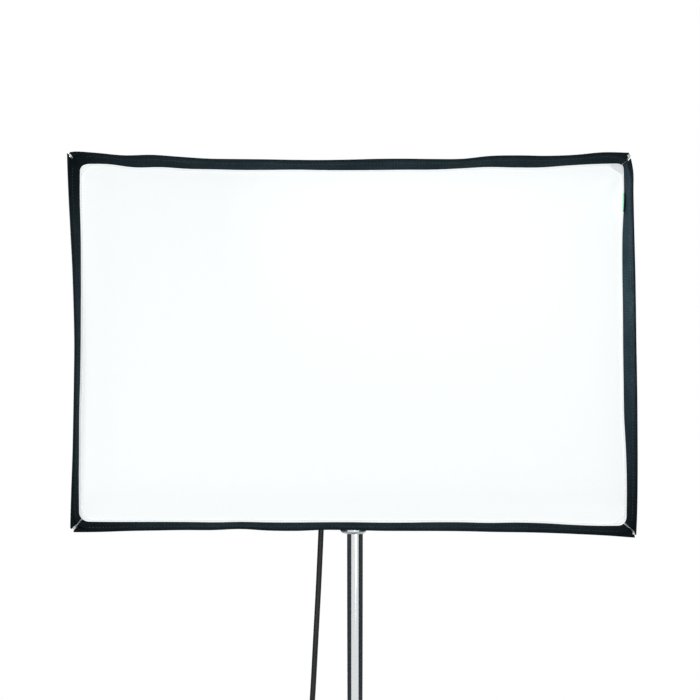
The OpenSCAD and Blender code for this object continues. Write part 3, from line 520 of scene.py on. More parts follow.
# Fibreglass circuit laminate with a green solder mask
SOLDER_MASK = Grained("green solder mask", "#2f6b46", 0.35, worn="#28593b", grain_mm=2.0, patch_mm=9, coat=0.3)
BRASS_PINS = Grained("turned brass", "#c8a552", 0.28, worn="#b8954a", grain_mm=0.4, metallic=1.0, bump=0.05)
# Chrome plate of the stand's tubes
CHROME = Plated("bright chrome plate", "#d9dbdd", 0.09)
# Painted floor: an even, matt pale grey
STUDIO_FLOOR = Grained("matt floor paint", "#f0f0ef", 0.8, worn="#eeeeed", grain_mm=3.0, patch_mm=300, bump=0.05)
# Black felt of the studio's flags
FLAG_FELT = Grained("black felt", "#40484c", 0.95, worn="#444c50", grain_mm=2.0, bump=0.1)
# Borosilicate globe, acid-frosted, and the clear quartz of the flash tube
FROSTED_GLASS = Glazed("acid-frosted glass", "#f4f6f8", 0.55, clear=0.7)
QUARTZ_GLASS = Glazed("clear quartz glass", "#fafcff", 0.05, clear=0.95)

# Finishes of the CAD nodes that stay as they are
CARRIED_OVER = {
    CAST_ALUMINIUM: ("speed_ring", "retaining_ring"),
    TURNED_ALUMINIUM: ("lamp_mount",),
    SPRING_STEEL: ("retaining_screws", "tilt_bolt", "riser_spigot"),
    BLACK_COAT: ("rod_sockets", "lamp_housing"),
    GREY_COAT: ("tilt_foot", "tilt_fork"),
    PANEL_ABS: ("rear_panel",),
    BLACK_ABS: ("lead_guide",),
    STEATITE: ("lamp_holder",),
    FROSTED_GLASS: ("frosted_globe",),
    QUARTZ_GLASS: ("flash_tube",),
    SOLDER_MASK: ("driver_board",),
}


class Making:
    """A mesh in the making, in millimetres, with a UV map in metres for cloth."""

    def __init__(self) -> None:
        """Starts an empty mesh."""
        self.bm = bmesh.new()
        self.uv = self.bm.loops.layers.uv.new("cloth")
        self.finish_number = 0

    def _faces(self, verts: Iterable[BMVert]) -> list[BMFace]:
        """Gives the faces at new points the finish that is in use.

        Args:
            verts: the points.

        Returns:
            The faces, each once and in the points' order.
        """
        faces = list(dict.fromkeys(f for v in verts for f in v.link_faces))
        for face in faces:
            face.material_index = self.finish_number
        return faces

    def sheet(self, along: int, across: int, place: Callable[[float, float], Vector], size: tuple[float, float],
              inside: Vector | None = None, ease: float = 0.0) -> list[BMFace]:
        """Adds a grid that is laid where place says.

        Args:
            along: cells along the first number.
            across: cells along the second number.
            place: gives a point for two numbers from 0 to 1.
            size: the sheet's flat size in millimetres, for its UV map.
            inside: a point that the faces turn away from.
            ease: how much finer the cells are towards the edges, from 0 to 1.

        Returns:
            The new faces.
        """
        verts = bmesh.ops.create_grid(self.bm, x_segments=along, y_segments=across, size=0.5)["verts"]
        spots = {v: tuple(0.5 + (1 - ease) * x + ease * 0.5 * sin(pi * x) for x in v.co.xy)
                 for v in verts}
        faces = self._faces(verts)
        for face in faces:
            for loop in face.loops:
                a, b = spots[loop.vert]
                loop[self.uv].uv = (a * size[0] * MM, b * size[1] * MM)
        for vert, (a, b) in spots.items():
            vert.co = place(a, b)
        if inside is not None:
            for face in faces:
                face.normal_update()
            if sum(f.normal.dot(f.calc_center_median() - inside) * f.calc_area() for f in faces) < 0:
                bmesh.ops.reverse_faces(self.bm, faces=faces)
        return faces

    def tube(self, path: Sequence[Vector], radius: float, sides: int) -> None:
        """Adds a round tube with closed ends along a path.

        Args:
            path: the points that it follows.
            radius: its radius.
            sides: how many sides it has.
        """
        frames = frames_along(path)
        turns = [2 * pi * i / sides for i in range(sides)]
        rings = [[self.bm.verts.new(frame @ Vector((-radius * sin(turn), radius * cos(turn), 0))) for turn in turns]
                 for frame in frames]
        near = 0.0
        for before, here, one, two in zip(frames, frames[1:], rings, rings[1:]):
            far = near + (here.translation - before.translation).length
            for i in range(sides):
                following = (i + 1) % sides
                face = self.bm.faces.new((one[i], one[following], two[following], two[i]))
                for loop, (step, along) in zip(face.loops, ((i, near), (i + 1, near), (i + 1, far), (i, far))):
                    loop[self.uv].uv = (step / sides * 2 * pi * radius * MM, along * MM)
            near = far
        for end in (rings[0], rings[-1]):
            self.bm.faces.new(end)
        bmesh.ops.recalc_face_normals(self.bm, faces=self._faces(v for ring in rings for v in ring))

    def lathe(self, profile: Sequence[tuple[float, float]], base: Vector, way: Vector, steps: int = 64,
              closed: bool = False, lobes: int = 0, depth: float = 0.0, above: float = 0.0) -> None:
        """Adds a turned shape.

        Args:
            profile: radius and height of each point.
            base: where height 0 is.
            way: the axis.
            steps: how many steps the turn has.
            closed: whether the last point joins the first.
            lobes: how many grips the rim has.
            depth: how far each grip is cut in.
            above: the radius from which grips are cut.
        """
        turns = [2 * pi * i / steps for i in range(steps)]
        rings = [[self.bm.verts.new((r * cos(turn), r * sin(turn), h)) for turn in turns] for r, h in profile]
        for one, two in list(zip(rings, rings[1:])) + ([(rings[-1], rings[0])] if closed else []):
            for i in range(steps):
                self.bm.faces.new((one[i - 1], one[i], two[i], two[i - 1]))
        made = [v for ring in rings for v in ring]
        bmesh.ops.remove_doubles(self.bm, verts=made, dist=1e-4)
        made = [v for v in made if v.is_valid]
        for v in made:
            out = hypot(v.co.x, v.co.y)
            if lobes and out > above:
                share = 0.5 - 0.5 * cos(lobes * atan2(v.co.y, v.co.x))
                v.co.xy *= (out - depth * share) / out
        faces = self._faces(made)
        bmesh.ops.recalc_face_normals(self.bm, faces=faces)
        bmesh.ops.transform(self.bm, matrix=aimed(base, way), verts=made)

    def block(self, middle: Vector, size: tuple[float, float, float], bevel: float,
              turn: Matrix | None = None) -> None:
        """Adds a block with rounded edges.

        Args:
            middle: its middle.
            size: its size along X, Y and Z.
            bevel: the radius of its edges.
            turn: a rotation of the block.
        """
        spot = Matrix.Translation(middle) @ (turn or Matrix()).to_4x4() @ Matrix.Diagonal((*size, 1.0))
        verts = bmesh.ops.create_cube(self.bm, size=1.0, matrix=spot)["verts"]
        edges = list(dict.fromkeys(e for v in verts for e in v.link_edges))
        faces = bmesh.ops.bevel(self.bm, geom=edges, offset=bevel, offset_type="OFFSET", segments=2, profile=0.5,
                                affect="EDGES", material=-1, clamp_overlap=True)["faces"]
        self._faces(v for face in faces for v in face.verts)

    def note(self, name: str, share: Callable[[Vector], float]) -> None:
        """Notes a share at each point, which a finish reads.

        Args:
            name: what the share is of.
            share: gives the share for a point, from 0 to 1.
        """
        layer = self.bm.verts.layers.float.new(name)
        for vert in self.bm.verts:
            vert[layer] = share(vert.co)

    def stitches(self, path: Sequence[Vector], out: Vector, pitch: float, length: float, thick: float) -> None:
        """Adds a row of stitches along a path.

        Args:
            path: the points of the row.
            out: the direction that the cloth faces.
            pitch: from one stitch to the next.
            length: the length of a stitch.
            thick: the thickness of the thread.
        """
        runs = [(a, b, (b - a).length) for a, b in zip(path, path[1:])]
        left = pitch / 2
        for a, b, run in runs:
            way = (b - a).normalized()
            side = out.cross(way).normalized()
            turn = Matrix((way, side, way.cross(side))).transposed().to_4x4()
            while left <= run:
                spot = Matrix.Translation(a + way * left) @ turn @ Matrix.Diagonal((length, thick, thick, 1.0))
                verts = bmesh.ops.create_icosphere(self.bm, subdivisions=1, radius=0.5, matrix=spot)["verts"]
                self._faces(verts)
                left += pitch
            left -= run

    def piece(self, name: str, body: str | None, slot: str, *finishes: Finish, stands_for: Sequence[str] = (),
              thick: float = 0.0, crease: float = 35.0) -> Object:
        """Turns the mesh into a piece that rides on a body.

        Args:
            name: the piece's name.
            body: the body that it moves with, or none, which leaves it unattached.
            slot: the record's material slot; not used.
            finishes: its finishes, in the order of their numbers.
            stands_for: the CAD nodes that it replaces.
            thick: the thickness of a cloth, put on its inner side.
            crease: edges sharper than this angle stay sharp, as the rims of a cloth do.

        Returns:
            The piece.
        """
        bmesh.ops.transform(self.bm, matrix=Matrix.Scale(MM, 4), verts=self.bm.verts)
        mesh = bpy.data.meshes.new(name)
        self.bm.edges.index_update()
        rims = [e.index for e in self.bm.edges if e.is_boundary]
        self.bm.to_mesh(mesh)
        self.bm.free()
        mesh.shade_smooth()
        mesh.set_sharp_from_angle(angle=radians(crease))
        for i in rims:
            mesh.edges[i].use_edge_sharp = True
        made = bpy.data.objects.new(name, mesh)
        bpy.context.scene.collection.objects.link(made)
        for finish in finishes:
            mesh.materials.append(finish.material())
        if thick:
            wall = made.modifiers.new("cloth thickness", "SOLIDIFY")
            wall.thickness, wall.offset = thick * MM, -1.0
        if body:
            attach(made, body)
        if stands_for:
            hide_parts(*stands_for)
        LOG.info("%s rides on %s", name, body or "two bodies")
        return made


@dataclass
class Studio:
    """The camera at the photograph's viewing angle, the soft lamps, the floor and the white background.

    Attributes:
        scale: millimetres for each pixel at the softbox's front edge.
        distance: from the camera to that edge.
        aside: how far the camera is to the right of the softbox's axis.
        below: how far it is below the axis.
        middle: where the axis is in the picture, in pixels from its middle.
        half_frame: half the picture's width in pixels.
        ambient: the level of the light from all around.
    """

    scale: float = 1.6
    distance: float = 3000.0
    aside: float = 32.8
    below: float = 11.2
    middle: float = 1.85
    half_frame: float = 350.0
    ambient: float = 0.10

    def build(self) -> None:
        """Sets up everything around the object."""
        scene = bpy.context.scene
        scene.view_settings.view_transform = "Standard"
        self._camera(scene)
        self._lamps(scene)
        self._floor(scene)
        self._flags(scene)
        self._background(scene)

    def _camera(self, scene: Scene) -> None:
        """Aims the camera level at the softbox.

        Args:
            scene: the scene.
        """
        data = bpy.data.cameras.new("camera")
        data.sensor_fit = "HORIZONTAL"
        data.angle = 2 * atan(self.half_frame * self.scale / self.distance)
        data.clip_end = 50.0
        eye = bpy.data.objects.new("camera", data)
        edge_y = RING_Y - FRONT
        eye.location = Vector((self.aside, edge_y - self.distance, AXIS_Z - self.below)) * MM
        turn = atan((self.aside + self.middle * self.scale) / self.distance)
        eye.rotation_euler = (pi / 2, 0, turn)
        scene.collection.objects.link(eye)
        scene.camera = eye

    def _lamps(self, scene: Scene) -> None:
        """Hangs the soft lamps: a key, a fill, one above, one behind, and one that grazes the right lip.

        Args:
            scene: the scene.
        """
        middle = (0.0, 0.0, 1.1)
        plan = (
            ("key lamp", (-0.9, -3.9, 1.5), middle, 1.6, 180, 39.0),
            ("fill lamp", (0.9, -3.9, 1.0), middle, 1.6, 180, 21.0),
            ("top lamp", (0.0, 0.9, 4.4), middle, 1.8, 180, 75.0),
            ("rear lamp", (1.6, 3.4, 2.4), middle, 1.8, 180, 60.0),
            ("edge lamp", (-1.7, -0.43, 1.50), (0.45, -0.26, 1.38), 0.3, 19, 0.95),
        )
        for name, place, aim, size, spread, power in plan:
            data = bpy.data.lights.new(name, "AREA")
            data.shape = "DISK"
            data.size = size
            data.spread = radians(spread)
            data.energy = power
            lamp = bpy.data.objects.new(name, data)
            lamp.location = place
            lamp.rotation_euler = (Vector(aim) - lamp.location).to_track_quat("-Z", "Y").to_euler()
            scene.collection.objects.link(lamp)

    def _floor(self, scene: Scene) -> None:
        """Lays a plain pale floor.

        Args:
            scene: the scene.
        """
        bm = bmesh.new()
        place = Matrix.Translation(BACK * STAND_Y * MM)
        bmesh.ops.create_circle(bm, cap_ends=True, segments=96, radius=2.2, matrix=place)
        mesh = bpy.data.meshes.new("floor")
        bm.to_mesh(mesh)
        bm.free()
        floor = bpy.data.objects.new("floor", mesh)
        mesh.materials.append(STUDIO_FLOOR.material())
        scene.collection.objects.link(floor)

    def _flags(self, scene: Scene) -> None:
        """Stands a dark flag at each side, which only bright metal shows, as the dark edges of its shine.

        Args:
            scene: the scene.
        """
        for name, x in (("left flag", -2.6), ("right flag", 2.6)):
            bm = bmesh.new()
            place = Matrix.Translation((x, 3.6, 1.5)) @ Matrix.Rotation(pi / 2, 4, "Y")
            bmesh.ops.create_grid(bm, x_segments=1, y_segments=1, size=0.5,
                                  matrix=place @ Matrix.Diagonal((3.4, 10.8, 1.0, 1.0)))
            mesh = bpy.data.meshes.new(name)
            bm.to_mesh(mesh)
            bm.free()
            flag = bpy.data.objects.new(name, mesh)
            mesh.materials.append(FLAG_FELT.material())
            scene.collection.objects.link(flag)
            flag.visible_camera = flag.visible_diffuse = flag.visible_shadow = flag.visible_transmission = False

    def _background(self, scene: Scene) -> None:
        """Makes what is behind the object white to the eye, and the light from all around even.

        Args:
            scene: the scene.
        """
        world = scene.world or bpy.data.worlds.new("studio")
        scene.world = world
        world.use_nodes = True
        tree = world.node_tree
        tree.nodes.clear()
        ray = add(tree, "LightPath")
        seen = ray.outputs["Is Camera Ray"]
        for kind in ("Is Glossy Ray", "Is Transmission Ray"):
            seen = add(tree, "Math", {0: seen, 1: ray.outputs[kind]}, operation="MAXIMUM").outputs[0]
        light = add(tree, "Background", {"Color": (1, 1, 1, 1), "Strength": self.ambient})
        white = add(tree, "Background", {"Color": (1, 1, 1, 1), "Strength": 1.0})
        both = add(tree, "MixShader", {
            "Fac": seen, 1: light.outputs["Background"], 2: white.outputs["Background"],
        })
        add(tree, "OutputWorld", {"Surface": both.outputs["Shader"]})


@dataclass
class Lead:
    """The lamp's lead: from its gland to the guide on the riser, then down to its coil and connector.

    Attributes:
        radius: the sheath's radius.
        upper: the route from the gland to the guide, from the stand's axis.
        lower: the route from the guide to the coil.
        coil_middle: the coil's middle, from the stand's axis.
        coil_radius: the radius of its first turn.
        coil_step: from one turn to the next.
        loops: turns in each of its two layers.
        start_angle: where the coil starts, in degrees.
        out_runs: points of the way out of the coil.
        boot: the length of the connector's tapered end.
        shell: the length of the connector's shell.
        shell_radius: its radius.
        ring_radius: the coupling ring's radius.
        upper_length: the real length of the upper stretch, in metres; not used.
        lower_length: the real length of the lower stretch with the coil, in metres; not used.
        settled: the height below which the lower stretch would stay with the stand; it is read, but not used.
        coil_points: points of the curve for each turn of the coil.
    """

    radius: float = 5.25
    upper: tuple = (
        (-30, 100, 1083.5), (-30, 99.8, 1070), (-32, 94.5, 1053), (-37, 82, 1037), (-43.5, 65, 1022),
        (-50, 46.5, 1008), (-55.3, 31, 992), (-58.9, 20, 972), (-60, 16, 951.3),
    )
    lower: tuple = (
        (-60, 16, 949), (-60.7, 16, 928), (-62.6, 17, 890), (-65.4, 21, 825), (-69.7, 28, 735), (-75, 37, 640),
        (-80, 48, 550), (-86, 60, 460), (-92, 74, 370), (-97, 88, 280), (-101, 102, 190), (-103, 115, 115),
        (-104, 125, 78), (-104, 139, 45), (-102.5, 157, 21), (-97.5, 177, 9), (-87, 196, 5.6), (-70, 210, 5.4),
        (-48, 217, 5.4), (-25, 218, 5.4), (-2, 213.5, 5.4),
    )
    coil_middle: tuple = (0.0, 130.0)
    coil_radius: float = 80.0
    coil_step: float = 11.1
    loops: int = 3
    start_angle: float = 75.0
    out_runs: tuple = (25.0, 50.0, 72.0, 84.0, 95.0)
    boot: float = 32.0
    shell: float = 46.0
    shell_radius: float = 12.5
    ring_radius: float = 14.5
    upper_length: float = 0.17
    lower_length: float = 3.6
    settled: float = 130.0
    coil_points: int = 24

    def build(self) -> None:
        """Makes the two stretches of the lead with what is on them."""
        self._upper()
        fittings = [self._connector(), self._coupling(), self._strap()]
        self._lower()

    def _coil(self, turn: float) -> Vector:
        """Finds a point of the coil.

        Args:
            turn: how many turns from its start.

        Returns:
            The point, from the stand's axis.
        """
        angle = radians(self.start_angle - 360 * turn)
        middle = self.loops + 0.25
        r = self.coil_radius - self.coil_step * (turn if turn < middle else 2 * middle - turn)
        rise = self.coil_step * smooth(self.loops, self.loops + 0.5, turn)
        x, y = self.coil_middle
        return Vector((x + r * cos(angle), y + r * sin(angle), self.radius + rise))

    @property
    def _way_out(self) -> Vector:
        """The direction in which the lead leaves its coil."""
        angle = radians(self.start_angle)
        return Vector((sin(angle), -cos(angle), 0))

    def _out(self, run: float) -> Vector:
        """Finds a point past the coil.

        Args:
            run: how far past it.

        Returns:
            The point, from the stand's axis.
        """
        start = self._coil(2 * self.loops)
        fall = (self.ring_radius - start.z) * min(1.0, max(0.0, (run - 50) / 30))
        return start + self._way_out * run + UP * fall

    def _upper(self) -> None:
        """Makes the stretch from the gland to the guide."""
        path = [p + BACK * STAND_Y for p in spline(self.upper, 5)]
        making = Making()
        making.tube(path, self.radius, 16)
        cord = making.piece("lead_from_lamp", None, "lead_rubber", SHEATH_RUBBER, stands_for=["lead_upper"])
        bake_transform(cord)

    def _lower(self) -> None:
        """Makes the stretch that hangs from the guide, lies down and ends in its coil.
        """
        count = self.coil_points * 2 * self.loops
        hanging = spline((*self.lower, tuple(self._coil(0))), 4)
        coiled = [self._coil(i / self.coil_points) for i in range(1, count + 1)]
        path = [p + BACK * STAND_Y for p in (*hanging, *coiled, *(self._out(run) for run in self.out_runs))]
        making = Making()
        making.tube(path, self.radius, 14)
        cord = making.piece("lead_to_coil", None, "lead_rubber", SHEATH_RUBBER,
                            stands_for=["lead_lower", "lead_coil"])
        low = Vector((*path[0].xy, self.settled))
        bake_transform(cord)

    def _connector(self) -> Object:
        """Turns the connector with its ribbed boot and its pins.

        Returns:
            The piece.
        """
        end = self.boot + self.shell
        boot = []
        for i in range(9):
            h = 2 + i * (self.boot - 4) / 9
            r = self.radius + 1 + (self.shell_radius - 2 - self.radius - 1) * h / self.boot
            boot += [(r, h), (r, h + 1.6), (r - 0.8, h + 1.9), (r - 0.8, h + 2.8)]
        base = self._out(self.out_runs[-1]) + BACK * STAND_Y
        making = Making()
        making.lathe([
            (0, 0), (self.radius + 0.4, 0), *boot, (self.shell_radius - 2, self.boot),
            (self.shell_radius - 0.5, self.boot), (self.shell_radius, self.boot + 0.6),
            (self.shell_radius, end - 0.6), (self.shell_radius - 0.5, end), (self.shell_radius - 2, end),
            (self.shell_radius - 2, end - 12), (0, end - 12),
        ], base, self._way_out, 48)
        making.finish_number = 1
        across = self._way_out.cross(UP)
        for angle in (0, 120, 240):
            turn = radians(angle)
            spot = base + (UP * cos(turn) + across * sin(turn)) * self.shell_radius / 2
            making.lathe([(1.5, end - 12.5), (1.5, end - 4), (1.1, end - 3.1), (0, end - 3)], spot,
                         self._way_out, 12)
        return making.piece("lead_connector", "stand", "black_plastic", BLACK_ABS, BRASS_PINS,
                            stands_for=["connector_body"])

    def _coupling(self) -> Object:
        """Turns the connector's knurled coupling ring.

        Returns:
            The piece.
        """
        start = self.boot + self.shell - 26
        r = self.ring_radius
        making = Making()
        making.lathe([
            (self.shell_radius + 0.05, start), (r - 1.2, start), (r - 0.8, start + 2), (r, start + 3),
            (r, start + 19), (r - 0.8, start + 20), (r - 1.2, start + 22), (self.shell_radius + 0.05, start + 22),
        ], self._out(self.out_runs[-1]) + BACK * STAND_Y, self._way_out, 144, closed=True, lobes=36, depth=0.7,
            above=r - 0.4)
        return making.piece("lead_coupling_ring", "stand", "tube_chrome", TURNED_ALUMINIUM,
                            stands_for=["connector_ring"], crease=50)

    def _strap(self) -> Object:
        """Wraps the strap round the coil's turns.

        Returns:
            The piece.
        """
        inner, outer, top, width, corner, overlap = 37.5, 85.9, 22.6, 16.0, 7.0, 22.0
        angle = radians(250)
        reach = Vector((cos(angle), sin(angle), 0))
        side = UP.cross(reach)
        middle = Vector((*self.coil_middle, 0)) + BACK * STAND_Y
        sides = (outer - inner - 2 * corner, top - 2 * corner)
        round_length = 2 * sum(sides) + 2 * pi * corner

        def place(a: float, b: float) -> Vector:
            """Follows the loop round the coil, with its end lying over its start."""
            far = a * (round_length + overlap)
            lift = 0.6 + 1.3 * smooth(round_length - 8, round_length + 4, far)
            far %= round_length
            x, z = inner + corner, top
            heading = 0.0
            for run in (sides[0], sides[1], sides[0], sides[1]):
                step = min(far, run)
                x += step * cos(heading)
                z += step * sin(heading)
                far -= step
                if far <= 0:
                    break
                bend = min(far, corner * pi / 2) / corner
                turn = heading - pi / 2
                x += corner * (cos(turn) + cos(heading - bend + pi / 2))
                z += corner * (sin(turn) + sin(heading - bend + pi / 2))
                far -= bend * corner
                heading -= bend
                if far <= 0:
                    break
            x += lift * cos(heading + pi / 2)
            z += lift * sin(heading + pi / 2)
            return middle + reach * x + side * (b - 0.5) * width + UP * max(z, 0.3)

        making = Making()
        making.sheet(90, 4, place, (round_length + overlap, width))
        return making.piece("coil_strap", "stand", "strap_webbing", STRAP_WEBBING, stands_for=["coil_tie"],
                            thick=1.1)


@dataclass(frozen=True)
class BoxShape:
    """The lines of the softbox's cloth, in right, forward and up from the middle of the speed ring.

    Corners and sides are counted from the top right over the top to the left, as seen from the front.

    Attributes:
        outer: the front corners of the shell.
        hem: the corners of the diffuser's hem.
        hem_rounding: the radius of each of those corners.
        front_dips: how far each front edge is drawn in between its corners, at even stations.
        hem_dips: the same for the hem.
        edge_bows: how far the middle of each side is drawn in along the rods.
        ring_reach: from the axis to the rods' sockets.
        socket_angle: the sockets' angle above the horizontal.
        rod_bend: how far behind the front edge the rods bend.
        lean: how much the rods lean out at the front.
        rod_inset: from the cloth's outside to the middle of a rod.
        fold: the radius of the cloth over the rods.
        rear: where the shell starts.
        seam_room: from the hem's corners to the cloth's outside.
        rod_room: from the hem's rounded corners to the rods, along each side.
        pocket: how far the lining goes round a rod, from the outside of the shell.
        slants: how far sideways the gap at each corner runs, for each step up or down.
        tucks: how far the front edge before each corner is tucked in at it.
        corner_shade_levels: how much painted shade the lip's cloth and the bindings get at each corner.
        corner_shade_reach: how far from the corners that painted shade reaches.
        corner_shade_reach: how far from the corners it does.
    """

    outer: tuple = ((447.0, 304.0), (-456.0, 305.5), (-450.0, -301.0), (455.0, -309.5))
    hem: tuple = ((438.5, 291.0), (-441.5, 291.5), (-443.0, -289.5), (444.0, -295.0))
    hem_rounding: tuple = (9.0, 13.0, 16.0, 13.0)
    front_dips: tuple = (
        (0.5, -0.2, 3.9, 5.5, 4.8, 5.7, 10.4, 10.7, 10.2, 10.5, 11.7, 12.4, 12.1, 11.3, 10.9, 10.2, 7.3, 4.2,
         5, 0.9, -2),
        (-0.3, 1.2, 3.7, 6.3, 7.8, 8.5, 7.3, 5.7, 3.8, 1.1, -1),
        (-1.8, -1, 1, 2.3, 3.5, 3.9, 6.1, 4.1, 4.1, 6.2, 6.2, 5.6, 5.9, 6.3, 6.3, 5.7, 5.6, 4.9, 3.5, 1.7, -1),
        (1.1, -0.5, -1.6, -2.3, -2.8, -3.1, -3.3, -3.5, -3.5, -3.4, -3.2, -3.2, -3.2, -3.1, -2.9, -2.5, -2.1,
         -1.8, -1.6, -1.8, 3),
    )
    hem_dips: tuple = (
        (0.8, 1.6, 3.9, 7, 7.1, 6.4, 8.7, 10.5, 10.6, 11.1, 11.4, 11.2, 10.5, 10.8, 10.9, 9.9, 9, 6.3, 6.5,
         1.3, 1),
        (0, -0.1, 1.5, 1.9, 1.9, 1.6, 0.9, -0.5, -0.6, -0.6, 0),
        (0, -0.1, 0.2, 0.6, 0.7, 0.5, 1.5, 1, 1.2, 2, 2.3, 2, 2.3, 3.3, 3.5, 2.8, 3.7, 2.9, 0.7, -0.6, 0),
        (0.5, -0.7, 0, 2.5, 2.9, 3.1, 2.9, 3.2, 2.5, -0.6, -0.5),
    )
    edge_bows: tuple = (12.0, 9.0, 7.2, -4.0)
    ring_reach: float = 80.0
    socket_angle: float = 34.0
    rod_bend: float = 210.0
    lean: float = 0.25
    rod_inset: float = 4.6
    fold: float = 3.0
    rear: float = 37.5
    seam_room: float = 4.0
    rod_room: float = 3.0
    pocket: float = 7.8
    slants: tuple = (0.53, 0.7, 1.0, 0.54)
    tucks: tuple = (0.0, 2.2, 0.0, 0.0)
    corner_shade_levels: tuple = (0.45, 1.0, 1.0, 1.0)
    corner_shade_reach: float = 210.0

    def row(self, right: float, forward: float, up: float) -> Vector:
        """Turns a point of the softbox to the row frame."""
        return Vector((right, RING_Y - forward, AXIS_Z + up))

    def sign(self, k: int) -> Vector:
        """The directions outwards at corner k, right and up."""
        return Vector(((1, 1), (-1, 1), (-1, -1), (1, -1))[k % 4])

    def gap(self, k: int, corner: int) -> tuple[float, float]:
        """Finds where the gap of the linings at a corner starts, along side k and inwards from it."""
        lean = sqrt(self.slants[corner % 4]) ** (1 - 2 * (k % 2))
        return self.pocket * lean, self.pocket / lean

    def painted_corner_shade(self, spot: Vector) -> float:
        """Finds the share of painted shade at a spot, from 0 away from the corners."""
        return max(most * (1 - smooth(0, self.corner_shade_reach, max(abs(spot.x - x), abs(spot.z - AXIS_Z - up))))
                   for most, (x, up) in zip(self.corner_shade_levels, self.outer))

    def u_at(self, forward: float) -> float:
        """Finds the share of a rod's curve at which it is this far forward of the ring."""
        slope = 2 * (FRONT - self.rod_bend)
        return 2 * forward / (slope + sqrt(slope * slope + 4 * (FRONT - slope) * forward))

    def rod(self, k: int, forward: float) -> Vector:
        """Finds the middle of a rod.

        Args:
            k: the corner.
            forward: how far forward of the ring.

        Returns:
            Right, forward and up.
        """
        s, u = self.sign(k), self.u_at(forward)
        angle = radians(self.socket_angle)
        root = Vector((s.x * self.ring_reach * cos(angle), 0, s.y * self.ring_reach * sin(angle)))
        tip = Vector((self.outer[k % 4][0], FRONT, self.outer[k % 4][1]))
        tip -= Vector((s.x, 0, s.y)) * self.rod_inset
        bend = tip - self.rod_bend * Vector((s.x * self.lean, 1, s.y * self.lean))
        return root * (1 - u) ** 2 + bend * 2 * u * (1 - u) + tip * u * u

    def _between(self, forward: float, rear: Callable[[float], float | Vector], seam: float | Vector,
                 front: float | Vector) -> float | Vector:
        """Blends from the rods' own line over the diffuser's seam to the front edge.

        Args:
            forward: how far forward of the ring.
            rear: the value that follows the rods, by the way forward.
            seam: the value at the diffuser.
            front: the value at the front edge.

        Returns:
            The blended value.
        """
        if forward < DIFFUSER_AT:
            return rear(forward) + (seam - rear(DIFFUSER_AT)) * smooth(200, DIFFUSER_AT, forward)
        return seam + (front - seam) * (forward - DIFFUSER_AT) / (FRONT - DIFFUSER_AT)

    def corner(self, k: int, forward: float) -> Vector:
        """Finds the outer corner of the cloth.

        Args:
            k: the corner.
            forward: how far forward of the ring.

        Returns:
            Right and up.
        """
        out = self.sign(k) * self.rod_inset
        seam = Vector(self.hem[k % 4]) + self.sign(k) * self.seam_room
        return self._between(forward, lambda f: self.rod(k, f).xz + out, seam, self.rod(k, FRONT).xz + out)

    def spring(self, k: int, forward: float) -> Vector:
        """Finds the middle of a rod as the cloth bends it, just behind the gap of the lips at the front.

        Args:
            k: the corner.
            forward: how far forward of the ring.

        Returns:
            The point in the row frame.
        """
        inward = (1 - sqrt(0.5)) * self.hem_rounding[k] - self.rod_room
        seam = Vector(self.hem[k]) - self.sign(k) * inward
        flat = self._between(forward, lambda f: self.rod(k, f).xz, seam, self.rod(k, FRONT).xz)
        return self.row(flat.x, forward, flat.y)

    def dip(self, k: int, t: float, forward: float) -> float:
        """Finds how far a side is drawn in.

        Args:
            k: the side.
            t: the place along it, from 0 to 1.
            forward: how far forward of the ring.

        Returns:
            The distance inwards.
        """
        bow = self.edge_bows[k] * 4 * t * (1 - t)
        tuck = self.tucks[(k + 1) % 4] * exp(-(100 * (1 - t)) ** 2)
        return self._between(forward, lambda f: bow * self.u_at(f), through(self.hem_dips[k], t),
                             through(self.front_dips[k], t) + tuck)

    def slack(self, k: int, t: float, forward: float) -> float:
        """Finds the folds of the cloth between its rods.

        Args:
            k: the side.
            t: the place along it, from 0 to 1.
            forward: how far forward of the ring.

        Returns:
            The distance outwards.
        """
        free = 4 * t * (1 - t) * smooth(self.rear, 110, forward) * (1 - smooth(330, 385, forward))
        broad = 1.6 * noise.noise(Vector((k * 7.3, t * 8, forward / 150)))
        fine = 0.5 * noise.noise(Vector((k * 3.1 + 50, t * 30, forward / 60)))
        gathered = 1.5 * exp(-forward / 150) * sin(11 * pi * t + 1.3 * k)
        return free * (broad + fine + gathered)

    def skin(self, k: int, t: float, forward: float, lift: float = 0.0) -> Vector:
        """Finds a point of the shell's outside.

        Args:
            k: the side.
            t: the place along it, from 0 to 1.
            forward: how far forward of the ring.
            lift: how far outside the shell.

        Returns:
            The point in the row frame.
        """
        flat = self.corner(k, forward).lerp(self.corner(k + 1, forward), t)
        out = Side(k).out
        away = lift + self.slack(k, t, forward) - self.dip(k, t, forward)
        return self.row(flat.x, forward, flat.y) + out * away

    def around(self, k: int, s: float, forward: float, lift: float) -> Vector:
        """Finds a point of the outside near a corner, with the cloth folded over the rod.

        Args:
            k: the corner.
            s: how far from the corner, below 0 on the side before it.
            forward: how far forward of the ring.
            lift: how far outside the shell.

        Returns:
            The point in the row frame.
        """
        before = (k - 1) % 4
        side = before if s < 0 else k % 4
        length = (self.corner(side + 1, forward) - self.corner(side, forward)).length
        if abs(s) >= self.fold:
            return self.skin(side, 1 + s / length if s < 0 else s / length, forward, lift)
        c = self.corner(k, forward)
        first, second = Side(before).out, Side(k % 4).out
        middle = self.row(c.x, forward, c.y) - (first + second) * self.fold
        angle = (s / self.fold + 1) * pi / 4
        return middle + (first * cos(angle) + second * sin(angle)) * (self.fold + lift)

